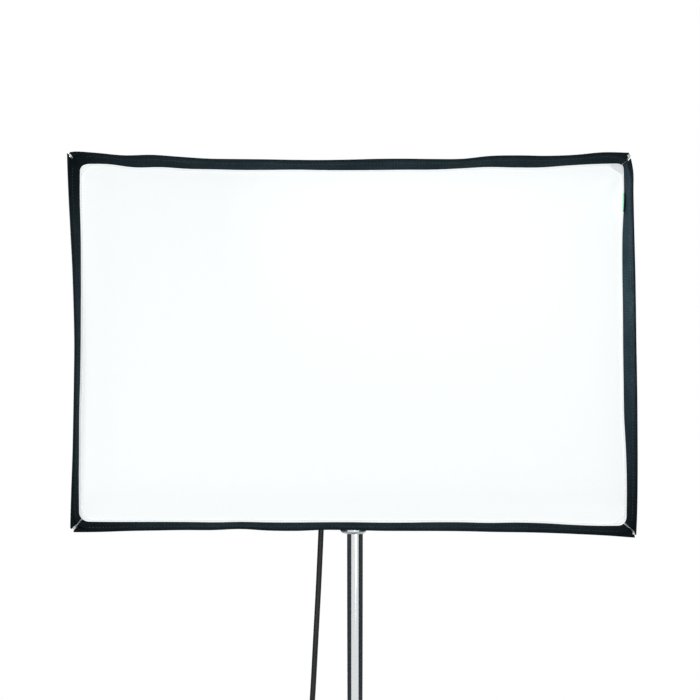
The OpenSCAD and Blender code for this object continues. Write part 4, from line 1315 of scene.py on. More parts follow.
    def border(self, k: int, t: float, grow: float, forward: float) -> Vector:
        """Finds a point of the diffuser's rounded border.

        Args:
            k: the side.
            t: the place along it, from the middle of one corner to that of the next.
            grow: how far outside the border.
            forward: how far forward of the ring.

        Returns:
            The point in the row frame.
        """
        a, b = (Vector(self.hem[j % 4]) for j in (k, k + 1))
        way = (b - a).normalized()
        run = (b - a).length
        out = Side(k).out
        flat = a.lerp(b, t)
        away = grow - through(self.hem_dips[k], t)
        for base, far, ahead, radius in ((a, t * run, way, self.hem_rounding[k]),
                                         (b, (1 - t) * run, -way, self.hem_rounding[(k + 1) % 4])):
            if far < radius:
                angle = (1 - far / radius) * pi / 4
                middle = base + ahead * radius
                flat = middle - ahead * (radius + grow) * sin(angle)
                away = (radius + grow) * cos(angle) - radius - through(self.hem_dips[k], t)
        return self.row(flat.x, forward, flat.y) + out * away

    def perimeter(self, a: float, grow: float, forward: float) -> Vector:
        """Follows the diffuser's border once round, or a line outside it, as a goes from 0 to 1."""
        place = min(a, 1 - 1e-9) * 4
        return self.border(int(place), place - int(place), grow, forward)


@dataclass
class Shell:
    """The rods and the black outside: four panels, the bindings and tapes on them, and the flaps at the rear.

    Attributes:
        shape: the cloth's lines.
        cloth: the thickness of the nylon.
        tape_reach: how far the corner tapes reach on each side.
        tape_ends: where they end at the front, at each corner.
        cuts: how far from each corner the bindings after it and before it end, at the outside.
        mitres: how far from the middle of the gap they end further in.
        rods: the rods' names, corner by corner and round to the first.
        rod_radius: a rod's radius.
        flat_sizes: each panel's width, length and area before it is stretched, in metres.
    """

    shape: BoxShape
    cloth: float = 1.4
    tape_reach: float = 17.0
    tape_ends: tuple = (401.0, 425.0, 401.0, 401.0)
    cuts: tuple = ((4.4, 9.6), (1.0, 3.4), (4.6, 4.2), (2.6, 2.6))
    mitres: tuple = ((2.6, 7.2), (1.8, 2.8), (1.7, 1.2), (2.0, 2.0))
    rods: tuple = ("rod_top_right", "rod_top_left", "rod_bottom_left", "rod_bottom_right", "rod_top_right")
    rod_radius: float = 2.5
    flat_sizes: dict = field(default_factory=lambda: {
        Side.TOP: (0.905, 0.46, 0.29), Side.LEFT: (0.61, 0.55, 0.215),
        Side.BOTTOM: (0.905, 0.46, 0.29), Side.RIGHT: (0.61, 0.55, 0.215),
    })

    def build(self) -> None:
        """Makes the rods, and the panels on them with what is sewn to them."""
        for k, name in enumerate(self.rods[:4]):
            making = Making()
            making.tube([self.shape.spring(k, 3 + 421 * i / 44) for i in range(45)], self.rod_radius, 16)
            making.piece(f"spring_{name}", "softbox", "spring_steel", ROD_LACQUER, stands_for=[name])
        trims = [self._bindings(), self._tapes(), self._stitching()]
        for side in Side:
            self._panel(side)
            self._flap(side)

    def _inside(self) -> Vector:
        """A point inside the softbox."""
        return self.shape.row(0, 250, 0)

    def _panel(self, side: Side) -> None:
        """Makes one panel.

        Args:
            side: the side.
        """
        shape, k = self.shape, side.value

        def place(a: float, b: float) -> Vector:
            """Runs from rod to rod, and from the rear seam to the front edge."""
            forward = shape.rear + b * (FRONT - shape.rear)
            length = (shape.corner(k + 1, forward) - shape.corner(k, forward)).length
            first, last = (shape.fold + max(0.0, cut - shape.fold) * smooth(396, 424, forward)
                           for cut in (self.cuts[k][0], self.cuts[(k + 1) % 4][1]))
            return shape.skin(k, (first + a * (length - first - last)) / length, forward)

        width, length, area = self.flat_sizes[side]
        making = Making()
        making.sheet(72, 60, place, (width * 1000, length * 1000), self._inside())
        panel = making.piece(f"shell_panel_{side.word}", "softbox", "shell_nylon", SHELL_NYLON,
                             stands_for=[f"shell_{side.word}"], thick=self.cloth)
        [f"spring_{rod}" for rod in self.rods[k:k + 2]]

    def _flap(self, side: Side) -> None:
        """Makes the gathered flap that closes the rear between a panel and the ring.

        Args:
            side: the side.
        """
        shape, k = self.shape, side.value
        span = (90 - shape.socket_angle if k % 2 == 0 else shape.socket_angle) - 12
        rim = shape.ring_reach + 3

        def place(a: float, b: float) -> Vector:
            """Runs along the ring's rim, and from it to the panel's rear edge."""
            turn = radians(90 * (k + 1) + span * (2 * a - 1))
            inner = shape.row(rim * cos(turn), 2, rim * sin(turn))
            edge = shape.skin(k, 0.1 + 0.8 * a, shape.rear - 1.5, -1.0)
            gather = (1 - b) * smooth(0, 0.06, b) * 1.3 * sin(2 * pi * (7 if k % 2 == 0 else 4) * a)
            out = Vector((cos(turn), 0, sin(turn)))
            return inner.lerp(edge, b) + out * (gather + 2.2 * sin(pi * b))

        making = Making()
        size = (0.17, 0.05, 0.0084) if k % 2 == 0 else (0.12, 0.05, 0.0054)
        making.sheet(64 if k % 2 == 0 else 40, 14, place, (size[0] * 1000, size[1] * 1000), self._inside())
        flap = making.piece(f"rear_flap_{side.word}", "softbox", "shell_nylon", SHELL_NYLON,
                            stands_for=["rear_flaps"], thick=1.0)

    def _bindings(self) -> Object:
        """Folds the binding tape over the front edges.

        Returns:
            The piece.
        """
        shape = self.shape
        lifts = (0.5, 0.7, 0.8, 0.3, -1.1, -2.5, -3.1, -3.2, -3.1)
        forwards = (419, 423, 428.6, 430.2, 430.7, 430.2, 428.6, 423, 419)
        making = Making()
        for side in Side:
            k = side.value
            length = (shape.corner(k + 1, FRONT) - shape.corner(k, FRONT)).length
            gaps = [(self.cuts[j % 4][j - k], self.mitres[j % 4][j - k], *shape.gap(k, j)) for j in (k, k + 1)]

            def place(a: float, b: float) -> Vector:
                """Runs along the edge, mitred at the rods, and from the outside over the edge to the inside."""
                near = min(a, 1 - a) * length
                deeper = gaps[a > 0.5][3] - 3.8
                lift = through(lifts, b) - smooth(0.35, 0.6, b) * deeper * exp(-(near / 14) ** 2)
                inner = max(0.0, -lift)
                first, last = (inner * run / deep + mitre + (cut - mitre) * (1 - smooth(0, 1.2, inner))
                               for cut, mitre, run, deep in gaps)
                forward = through(forwards, b)
                t = (first + a * (length - first - last)) / length
                return shape.skin(k, t, min(forward, FRONT), lift) - BACK * max(0, forward - FRONT)

            making.sheet(110, 16, place, (length, 26), shape.skin(k, 0.5, 421, -1.3))
        # Painted shade: this share darkens the binding near the corners.
        making.note("painted_corner_shade", shape.painted_corner_shade)
        return making.piece("front_binding", "softbox", "tape_nylon", TAPE_POLYESTER, thick=0.5)

    def _tapes(self) -> Object:
        """Folds the reinforcing tapes over the four corner seams.

        Returns:
            The piece.
        """
        shape = self.shape
        making = Making()
        for k in range(4):
            def place(a: float, b: float) -> Vector:
                """Runs from the rear to the front, and from one panel over the rod to the next."""
                forward = shape.rear + a * (self.tape_ends[k] - shape.rear)
                reach = self.tape_reach - 10 * smooth(396, 422, forward)
                return shape.around(k, (2 * b - 1) * reach, forward, 0.9)

            making.sheet(70, 22, place, (560, 2 * self.tape_reach), self._inside())
        return making.piece("corner_seam_tapes", "softbox", "tape_nylon", SEAM_TAPE,
                            stands_for=["corner_tapes"], thick=0.7)

    def _stitching(self) -> Object:
        """Sews the rows along the lining's seam, the bindings and the corner tapes.

        Returns:
            The piece.
        """
        shape = self.shape
        making = Making()
        for side in Side:
            k = side.value
            for forward, lift in ((397.0, 0.2), (421.5, 0.8)):
                row = [shape.skin(k, 0.025 + 0.95 * i / 60, forward, lift) for i in range(61)]
                making.stitches(row, side.out, 6.0, 3.8, 1.0)
            for edge in (-1, 1):
                row = [shape.around(k, edge * (self.tape_reach - 2.5), shape.rear + 4 + i * 9, 1.0)
                       for i in range(40)]
                out = Side(k if edge > 0 else (k - 1) % 4).out
                making.stitches(row, out, 6.0, 3.8, 1.0)
        return making.piece("shell_stitching", "softbox", "tape_nylon", DARK_THREAD)


@dataclass
class Lips:
    """The black linings in front of the diffuser, mitred at the corners over the rods.

    Attributes:
        shape: the cloth's lines.
        sewn: how far it is from the outside where it is sewn to the shell.
        slits: half the gap at each corner's mitre.
    """

    shape: BoxShape
    sewn: float = 2.2
    slits: tuple = (1.4, 0.8, 2.0, 2.6)

    def build(self) -> None:
        """Makes the four linings and their stitching."""
        rows = self._stitching()
        for side in Side:
            self._lining(side)

    def _edge(self, k: int, t: float) -> Vector:
        """Finds a point of a lining's front edge.

        Args:
            k: the side.
            t: the place along it, from 0 to 1.

        Returns:
            The point in the row frame.
        """
        shape = self.shape
        out = Side(k).out.xz
        ends = [Vector(shape.outer[j % 4]) for j in (k, k + 1)]
        way = (ends[1] - ends[0]).normalized()
        near = min(t, 1 - t) * (ends[1] - ends[0]).length
        for j, turn in ((0, 1), (1, -1)):
            run, deep = shape.gap(k, k + j)
            ends[j] += way * run * turn - out * deep
        flat = ends[0].lerp(ends[1], t)
        deep = shape.gap(k, k)[1] * (1 - t) + shape.gap(k, k + 1)[1] * t
        away = (deep - self.sewn - through(shape.front_dips[k], t)) * (1 - exp(-(near / 15) ** 2))
        return shape.row(flat.x, FRONT - 0.6, flat.y) + Side(k).out * away

    def _point(self, k: int, t: float, b: float, lift: float = 0.0) -> Vector:
        """Finds a point of a lining.

        Args:
            k: the side.
            t: the place along it, from 0 to 1.
            b: the place from the diffuser to the front edge, from 0 to 1.
            lift: how far towards the axis.

        Returns:
            The point in the row frame.
        """
        back = self.shape.border(k, t, 1.0, DIFFUSER_AT - 1.5)
        puff = 1.1 * sin(pi * b) * (1 + 0.8 * noise.noise(Vector((k * 5.7, t * 26, b * 2))))
        puff *= smooth(0, 0.04, min(t, 1 - t))
        return back.lerp(self._edge(k, t), b) - Side(k).out * (puff + lift)

    def _lining(self, side: Side) -> None:
        """Makes one lining.

        Args:
            side: the side.
        """
        k = side.value
        a, b = (Vector(self.shape.outer[j % 4]) for j in (k, k + 1))
        length = (b - a).length

        def place(a: float, b: float) -> Vector:
            """Runs from mitre to mitre, and from the diffuser to the front edge."""
            first, last = self.slits[k], self.slits[(k + 1) % 4]
            return self._point(k, (first + a * (length - first - last)) / length, b)

        making = Making()
        making.sheet(140, 10, place, (length, 44), self.shape.row(0, 410, 0))
        # Painted shade: this share darkens the lining near the corners.
        making.note("painted_corner_shade", self.shape.painted_corner_shade)
        lining = making.piece(f"lip_lining_{side.word}", "softbox", "lip_nylon", LIP_NYLON,
                              stands_for=[f"lip_{side.word}"], thick=0.9)
        f"shell_panel_{side.word}"

    def _stitching(self) -> Object:
        """Sews a row along each front edge.

        Returns:
            The piece.
        """
        making = Making()
        for side in Side:
            row = [self._point(side.value, 0.02 + 0.96 * i / 80, 0.8, 1.0) for i in range(81)]
            making.stitches(row, -side.out, 5.5, 3.6, 0.9)
        return making.piece("lip_stitching", "softbox", "lip_nylon", DARK_THREAD)


@dataclass
class Diffuser:
    """The white front cloth with its hem, and the mint tab that it is pulled off by.

    Attributes:
        shape: the cloth's lines.
        crown: how far the cloth bellies forward.
        hem_width: the width of the hem.
        gussets: how far each corner's gusset reaches along the side before it and the side after it.
        gusset_lift: how far forward of the cloth a gusset is at the border.
        border_glow_reach: how far from the border the added painted glow reaches.
        border_glow_shares: how much of it the lower and the left border get.
        border_glow_shares: how much of it reaches the lower and the left border.
        flat_size: the cloth's width and height, in metres.
    """

    shape: BoxShape
    crown: float = 3.0
    hem_width: float = 4.0
    gussets: tuple = ((20.0, 28.0), (19.0, 20.0), (21.0, 18.0), (22.0, 20.0))
    gusset_lift: float = 1.15
    border_glow_reach: float = 45.0
    border_glow_shares: tuple = (1.0, 0.45)
    flat_size: tuple = (0.884, 0.588)

    def build(self) -> None:
        """Makes the cloth, the hem, its stitching and the tab."""
        trims = [self._hem(), self._stitching(), self._tab()]
        making = Making()
        width, height = self.flat_size
        making.sheet(200, 140, self._place, (width * 1000, height * 1000), self.shape.row(0, 300, 0), ease=0.6)
        # Painted glow: notes how much more glow the cloth gives off near its lower and left border.
        making.note("rim", self._rim)
        cloth = making.piece("diffuser_cloth", "softbox", "diffuser_nylon", DIFFUSER_NYLON,
                             stands_for=["front_diffuser"], thick=0.8)
        [f"lip_lining_{side.word}" for side in Side]

    def _gusset(self, k: int, a: float, b: float, lift: float) -> Vector:
        """Finds a point of a corner's gusset.

        Args:
            k: the corner.
            a: the place round the corner, from the side before it to the side after it.
            b: the place from the border to the gusset's straight seam, where it lies on the cloth.
            lift: how far forward of the cloth it is at the border.

        Returns:
            The point in the row frame.
        """
        inward = smooth(0, 1, b)
        forward = DIFFUSER_AT + lift - 0.8 * inward

        def edge(s: float) -> Vector:
            """Follows the border round the corner, from -1 to 1."""
            side = (k - (s < 0)) % 4
            run = (Vector(self.shape.hem[(side + 1) % 4]) - Vector(self.shape.hem[side])).length
            return self.shape.perimeter((k + s * self.gussets[k][s > 0] / run) / 4 % 1, -0.5, forward)

        return edge(2 * a - 1).lerp(edge(-1).lerp(edge(1), a), inward)

    def _place(self, a: float, b: float) -> Vector:
        """Spans the four hem lines, with rounded corners, a slight belly and ripples at the corners.

        Args:
            a: the place from left to right.
            b: the place from bottom to top.

        Returns:
            The point in the row frame.
        """
        shape = self.shape

        def line(k: int, t: float) -> Vector:
            """Follows one hem line."""
            flat = Vector(shape.hem[k]).lerp(Vector(shape.hem[(k + 1) % 4]), t)
            out = Side(k).out
            return flat - Vector((out.x, out.z)) * through(shape.hem_dips[k], t)

        corners = [Vector(c) for c in shape.hem]
        flat = line(2, a) * (1 - b) + line(0, 1 - a) * b + line(1, 1 - b) * (1 - a) + line(3, b) * a
        flat -= (corners[2] * (1 - a) + corners[3] * a) * (1 - b) + (corners[1] * (1 - a) + corners[0] * a) * b
        forward = DIFFUSER_AT + self.crown * (1 - (2 * a - 1) ** 6) * (1 - (2 * b - 1) ** 6)
        for k, corner in enumerate(corners):
            s, radius = shape.sign(k), shape.hem_rounding[k]
            inward = Vector(((corner.x - flat.x) * s.x, (corner.y - flat.y) * s.y))
            far = inward.length
            swing = atan2(inward.y, inward.x) if far > 1e-6 else 0.0
            ripple = 0.7 * sin(8 * swing + k) * exp(-far / 60) * smooth(16, 40, far)
            forward += ripple
            if max(inward) < radius:
                v = Vector((radius, radius)) - inward
                v *= max(v) / max(v.length, 1e-6)
                flat = corner - Vector((s.x * (radius - v.x), s.y * (radius - v.y)))
        return shape.row(flat.x, forward, flat.y)

    def _rim(self, spot: Vector) -> float:
        """Finds how much added painted glow a spot of the cloth gets near the lower and left border, from 0 to 1.
        """
        gaps = (spot.z - AXIS_Z - self.shape.hem[2][1], spot.x - self.shape.hem[2][0])
        return max(most * (1 - smooth(0, self.border_glow_reach, gap)) for most, gap in zip(self.border_glow_shares, gaps))

    def _hem(self) -> Object:
        """Lays the hem tape round the border, and a gusset on each corner.

        Returns:
            The piece.
        """
        shape = self.shape

        def place(a: float, b: float) -> Vector:
            """Follows the border, and runs inwards from it."""
            inward = self.hem_width * smooth(0, 1, b)
            return shape.perimeter(a, 0.2 - inward, DIFFUSER_AT + 0.7 - 0.4 * b + 0.3 * sin(pi * b))

        making = Making()
        making.sheet(640, 6, place, (2900, self.hem_width), shape.row(0, 300, 0))
        bmesh.ops.remove_doubles(making.bm, verts=making.bm.verts, dist=1e-3)
        for k in range(4):
            # The upper right gusset takes the greyer finish with less glow, which is painted shade.
            making.finish_number = 0 if k else 1
            making.sheet(24, 6, lambda a, b: self._gusset(k, a, b, self.gusset_lift), (30, 14),
                         shape.row(0, 300, 0))
        # Painted glow: notes how much more glow the hem gives off near the lower and left border.
        making.note("rim", self._rim)
        return making.piece("diffuser_hem", "softbox", "diffuser_nylon", HEM_TAPE, GUSSET_PAINTED_SHADE, thick=0.4)

    def _stitching(self) -> Object:
        """Sews the hem and the gussets.

        Returns:
            The piece.
        """
        making = Making()
        row = [self.shape.perimeter(i / 640, 1.2 - self.hem_width, DIFFUSER_AT + 0.9) for i in range(641)]
        making.stitches(row, -BACK, 5.0, 3.0, 0.7)
        for k in range(4):
            row = [self._gusset(k, i / 8, 0.85, self.gusset_lift + 0.15) for i in range(9)]
            making.stitches(row, -BACK, 3.6, 2.6, 0.8)
        return making.piece("diffuser_stitching", "softbox", "diffuser_nylon", PALE_THREAD)

    def _tab(self) -> Object:
        """Folds the tab, which stands out of the hem at the upper right.

        Returns:
            The piece.
        """
        shape = self.shape

        def place(a: float, b: float) -> Vector:
            """Runs up the edge, and out of the hem and back into it."""
            edge = shape.border(3, 0.8905 + 0.051 * (a - 0.5), -0.6, DIFFUSER_AT)
            out = 14 * sin(pi * b) ** 0.8
            apart = 0.5 * cos(pi * b) + 0.03 * out
            return edge - BACK * (out + 1) - RIGHT * (apart + 1.0)

        making = Making()
        making.sheet(10, 20, place, (30, 30), shape.border(3, 0.893, -1.6, DIFFUSER_AT + 7))
        return making.piece("pull_tab_loop", "softbox", "tab_nylon", TAB_GROSGRAIN, stands_for=["pull_tab"],
                            thick=0.5)


@dataclass
class Inside:
    """What hangs inside the softbox: the inner baffle with its ties, and the caps on the rods' ends.

    Attributes:
        shape: the cloth's lines.
        width: the baffle's width.
        height: the baffle's height.
        at: how far forward of the ring it hangs.
        loop: the radius of a tie's loop round its rod.
        caps_at: how far forward of the ring the rods' caps end.
    """

    shape: BoxShape
    width: float = 420.0
    height: float = 280.0
    at: float = 200.0
    loop: float = 3.6
    caps_at: float = 427.0

    def build(self) -> None:
        """Makes the baffle, the ties and the caps."""
        ties = self._ties()
        making = Making()

        def place(a: float, b: float) -> Vector:
            """Hangs by its corners, with its edges drawn in between them."""
            x, z = 2 * a - 1, 2 * b - 1
            draw_x, draw_z = 1 - 0.02 * (1 - z * z), 1 - 0.03 * (1 - x * x)
            belly = 3 * (1 - x * x) * (1 - z * z) + 0.6 * noise.noise(Vector((a * 5, b * 4, 3.0)))
            return self.shape.row(x * draw_x * self.width / 2, self.at + 0.75 + belly,
                                  z * draw_z * self.height / 2)

        making.sheet(48, 32, place, (self.width, self.height), self.shape.row(0, 100, 0))
        # The baffle is cut from the diffuser's cloth and gives off the same painted glow.
        baffle = making.piece("baffle_cloth", "softbox", "diffuser_nylon", DIFFUSER_NYLON,
                              stands_for=["inner_baffle"], thick=0.8)
        self._caps()

    def _ties(self) -> Object:
        """Runs a strap from each corner of the baffle to its rod and round it.

        Returns:
            The piece.
        """
        making = Making()
        for k in range(4):
            s, rod = self.shape.sign(k), self.shape.rod(k, self.at + 1.5)
            end = self.shape.row(rod.x, self.at + 1.5, rod.z)
            start = self.shape.row(s.x * (self.width / 2 - 20), self.at + 2.4, s.y * (self.height / 2 - 20))
            way = (end - start).normalized()
            across = way.cross(BACK).normalized()
            run = (end - start).length - self.loop

            def place(a: float, b: float) -> Vector:
                """Runs along the strap and round the rod, and across the strap."""
                far = a * (run + 20)
                spot = start + way * min(far, run)
                turn = max(0.0, far - run) / self.loop
                bend = way * (self.loop - self.loop * cos(turn)) + BACK * self.loop * sin(turn)
                return spot + bend + across * (b - 0.5) * 12

            making.sheet(40, 3, place, (run + 20, 12), self.shape.row(0, 400, 0))
        return making.piece("baffle_straps", "softbox", "strap_webbing", STRAP_WEBBING,
                            stands_for=["baffle_ties"], thick=1.0)

    def _caps(self) -> None:
        """Puts a moulded cap on the end of each rod."""
        making = Making()
        for k in range(4):
            tip = self.shape.spring(k, self.caps_at)
            way = tip - self.shape.spring(k, self.caps_at - 4)
            making.lathe([(2.6, -16), (3.0, -15.8), (3.2, -15), (3.2, 1.2), (2.9, 2.5), (2.1, 3.5), (1.0, 4),
                          (0, 4.1)], tip, way.normalized(), 24)
        making.piece("rod_end_caps", "softbox", "cap_plastic", CAP_NYLON, stands_for=["rod_tips"])


@dataclass
class LampHead:
    """What is added to the lamp head: bands, controls, the fittings of its rear panel, and the gland.

    Attributes:
        radius: the housing's radius.
        face: the rear panel's face, from the stand's axis.
    """

    radius: float = 60.0
    face: float = 140.0

    def build(self) -> None:
        """Makes each control and fitting."""
        self._bands()
        self._dial()
        self._rocker()
        self._button()
        self._scale()
        self._fittings()
        self._gland()
        self._ring_knob()

    def _at(self, x: float, y: float, z: float) -> Vector:
        """A point from the stand's axis, in the row frame."""
        return Vector((x, y + STAND_Y, z))

    def _bands(self) -> None:
        """Turns the two moulded bands round the housing."""
        making = Making()
        r = self.radius
        for start, length in ((-84.0, 11.0), (117.5, 12.0)):
            ribs = []
            for i in range(3):
                h = 1.8 + i * (length - 4) / 3
                ribs += [(r + 1.2, h), (r + 1.2, h + 1.8), (r + 0.7, h + 2.1), (r + 0.7, h + 2.6)]
            making.lathe([(r - 0.3, 0), (r + 0.9, 0), (r + 1.2, 0.4), *ribs, (r + 1.2, length - 0.6),
                          (r + 0.8, length), (r - 0.3, length)], self._at(0, start, AXIS_Z), BACK, 128,
                         closed=True)
        making.piece("housing_bands", "lamp", "black_plastic", BLACK_ABS)

    def _dial(self) -> None:
        """Turns the ribbed power dial with its pointer."""
        making = Making()
        spot = self._at(0, self.face + 0.5, AXIS_Z + 22)
        making.lathe([(0, -8), (3, -8), (3, 0), (16.6, 0), (17, 0.5), (17, 2.2), (16.2, 3), (15.8, 12.2),
                      (15, 13.4), (13.8, 14), (11.5, 14), (10.8, 13.4), (0, 13.2)], spot, BACK, 168, lobes=28,
                     depth=0.8, above=15.4)
        making.finish_number = 1
        making.block(spot + BACK * 13.5 + UP * 12.0, (1.4, 0.9, 6.0), 0.2)
        making.piece("power_dial_knob", "dial", "black_plastic", BLACK_ABS, PRINT_INK, stands_for=["power_dial"])

    def _rocker(self) -> None:
        """Shapes the rocker: two sloped faces that meet over its axle, with a raised bar and ring."""
        making = Making()
        spot = self._at(0, self.face - 1.5, AXIS_Z - 24)
        making.block(spot, (12, 7, 20), 0.9)
        bmesh.ops.subdivide_edges(making.bm, edges=making.bm.edges, cuts=2, use_grid_fill=True)
        for v in making.bm.verts:
            if v.co.y > spot.y + 2:
                v.co.y += 0.10 * abs(v.co.z - spot.z) - 1.0
        making.finish_number = 1
        making.block(spot + BACK * 2.95 + UP * 5.5, (0.9, 0.5, 3.4), 0.1)
        making.lathe([(1.0, -0.2), (1.0, 0.25), (1.7, 0.25), (1.7, -0.2)], spot + BACK * 2.95 - UP * 5.5, BACK,
                     20, closed=True)
        making.piece("rocker_switch", "switch", "switch_plastic", SWITCH_ABS, PRINT_INK,
                     stands_for=["power_switch"])

    def _button(self) -> None:
        """Turns the test button with its dished face."""
        making = Making()
        making.lathe([(0, 0), (4.5, 0), (4.5, 10), (4.2, 10.6), (3.6, 10.8), (2.6, 10.5), (0, 10.2)],
                     self._at(30, self.face - 7.8, AXIS_Z - 22), BACK, 40)
        making.piece("test_push_button", "button", "button_plastic", BUTTON_ABS, stands_for=["test_button"])

    def _scale(self) -> None:
        """Prints the ticks round the dial."""
        making = Making()
        for i in range(11):
            turn = Matrix.Rotation(radians(-150 + 30 * i), 4, "Y")
            reach = 3.6 if i % 5 == 0 else 2.4
            spot = self._at(0, self.face + 0.05, AXIS_Z + 22) + turn @ (UP * (19.6 + reach / 2))
            making.block(spot, (0.9, 0.2, reach), 0.05, turn)
        making.piece("dial_scale", "lamp", "panel_plastic", PRINT_INK)

    def _fittings(self) -> None:
        """Sets the panel's screws, the sync socket and the ready lamp."""
        making = Making()
        for angle in (45, 135, 225, 315):
            turn = radians(angle)
            spot = self._at(50 * cos(turn), self.face, AXIS_Z + 50 * sin(turn))
            making.finish_number = 0
            making.lathe([(3.2, -0.4), (3.2, 0.5), (2.6, 1.2), (1.4, 1.6), (0, 1.7)], spot, BACK, 28)
            making.finish_number = 1
            for tilt in (20, 110):
                slot = Matrix.Rotation(radians(tilt), 4, "Y")
                making.block(spot + BACK * 1.35, (3.4, 0.9, 0.7), 0.1, slot)
        making.finish_number = 0
        socket = self._at(-30, self.face, AXIS_Z - 22)
        making.lathe([(3.2, -0.5), (3.2, 1.6), (3.8, 2.0), (4.6, 2.0), (5.0, 1.6), (6.2, 1.4), (6.4, -0.5)],
                     socket, BACK, 36, closed=True)
        making.finish_number = 1
        making.lathe([(3.3, 0.2), (1.2, 0.2), (1.1, 1.0), (0, 1.1)], socket, BACK, 24)
        making.finish_number = 2
        making.lathe([(2.6, -0.4), (2.6, 0.6), (2.0, 1.4), (1.0, 1.9), (0, 2.0)],
                     self._at(30, self.face, AXIS_Z - 2), BACK, 28)
        making.piece("panel_fittings", "lamp", "panel_plastic", TURNED_ALUMINIUM, BLACK_ABS, LENS_GREEN)

    def _gland(self) -> None:
        """Turns the lead's gland: a hexagonal nut and a ribbed, tapered strain relief."""
        making = Making()
        top = self._at(-30, 100, 1150)
        making.lathe([(0, 0), (9, 0), (9, 10), (10.4, 10.6), (10.4, 33.2), (9.6, 34), (0, 34)], top, -UP, 48)
        making.lathe([(0, 14), (11.2, 14), (11.7, 14.8), (11.7, 25.2), (11.2, 26), (0, 26)], top, -UP, 6)
        ribs = []
        for i in range(8):
            h = 34.5 + i * 3.8
            r = 9 - (9 - 6.15) * (h - 34) / 32
            ribs += [(r, h), (r - 0.1, h + 2.0), (r - 0.9, h + 2.3), (r - 1.0, h + 3.4)]
        making.lathe([(0, 34), *ribs, (6.15, 65), (6.0, 66), (5.3, 66)], top, -UP, 40)
        making.piece("lead_strain_relief", "lamp", "black_plastic", BLACK_ABS, stands_for=["lead_gland"])

    def _ring_knob(self) -> None:
        """Turns the lobed knob that locks the speed ring."""
        making = Making()
        spot = self._at(0, -102, 1260.5)
        making.finish_number = 1
        making.lathe([(0, 0), (2.4, 0), (3, 0.8), (3, 31), (0, 31)], spot, UP, 24)
        making.finish_number = 0
        making.lathe([(0, 29.5), (5.4, 29.5), (6.4, 31), (7.6, 32), (8, 33), (8, 42), (7.4, 43.6), (6, 44.4),
                      (0, 44.5)], spot, UP, 96, lobes=8, depth=1.3, above=6.2)
        making.piece("ring_lock_knob", "ring_knob", "black_plastic", BLACK_ABS, SPRING_STEEL,
                     stands_for=["ring_knob"])


@dataclass
class TiltBracket:
    """The handles of the tilt bracket: the lever on its bolt and the knob on its socket.

    Attributes:
        pivot: the height of the tilt axis.
        lock: the height of the spigot's lock.
    """

    pivot: float = 1090.0
    lock: float = 1016.0

    def build(self) -> None:
        """Makes both handles."""
        base = Vector((0, STAND_Y, 0))
        making = Making()
        hub = base + UP * self.pivot + RIGHT * 20.6
        making.lathe([(4.1, 0), (8.4, 0), (9, 0.6), (9, 9.5), (8.2, 11.2), (6.4, 12), (4.1, 12)], hub, RIGHT, 48,
                     closed=True)
        arm = Vector((0.12, 1, -1)).normalized()
        making.lathe([(0, 3), (5.2, 3), (5.0, 8), (4.0, 16), (3.9, 40), (3.7, 54), (4.2, 57), (5.6, 60.5),
                      (6.5, 65), (6.3, 68), (5.2, 71), (3.2, 72.3), (0, 72.5)], hub + RIGHT * 6, arm, 32)
        making.finish_number = 1
        making.lathe([(0, 11.2), (3.6, 11.2), (3.6, 12.6), (3.0, 13.2), (0, 13.3)], hub, RIGHT, 6)
        making.piece("tilt_lock_lever", "tilt_lever", "black_plastic", BLACK_ABS, SPRING_STEEL,
                     stands_for=["tilt_lever"])

        making = Making()
        spot = base + UP * self.lock + BACK * 8.4
        making.finish_number = 1
        making.lathe([(0, 0), (2.4, 0), (3, 0.8), (3, 14), (0, 14)], spot, BACK, 24)
        making.finish_number = 0
        making.lathe([(0, 12.6), (8, 12.6), (9, 14), (10, 15.5), (12.4, 16.4), (13, 17.6), (13, 26), (12, 28),
                      (9.6, 28.6), (0, 28.2)], spot, BACK, 112, lobes=7, depth=2.2, above=9.8)
        making.piece("spigot_lock_knob", "spigot_knob", "black_plastic", BLACK_ABS, SPRING_STEEL,
                     stands_for=["spigot_knob"])


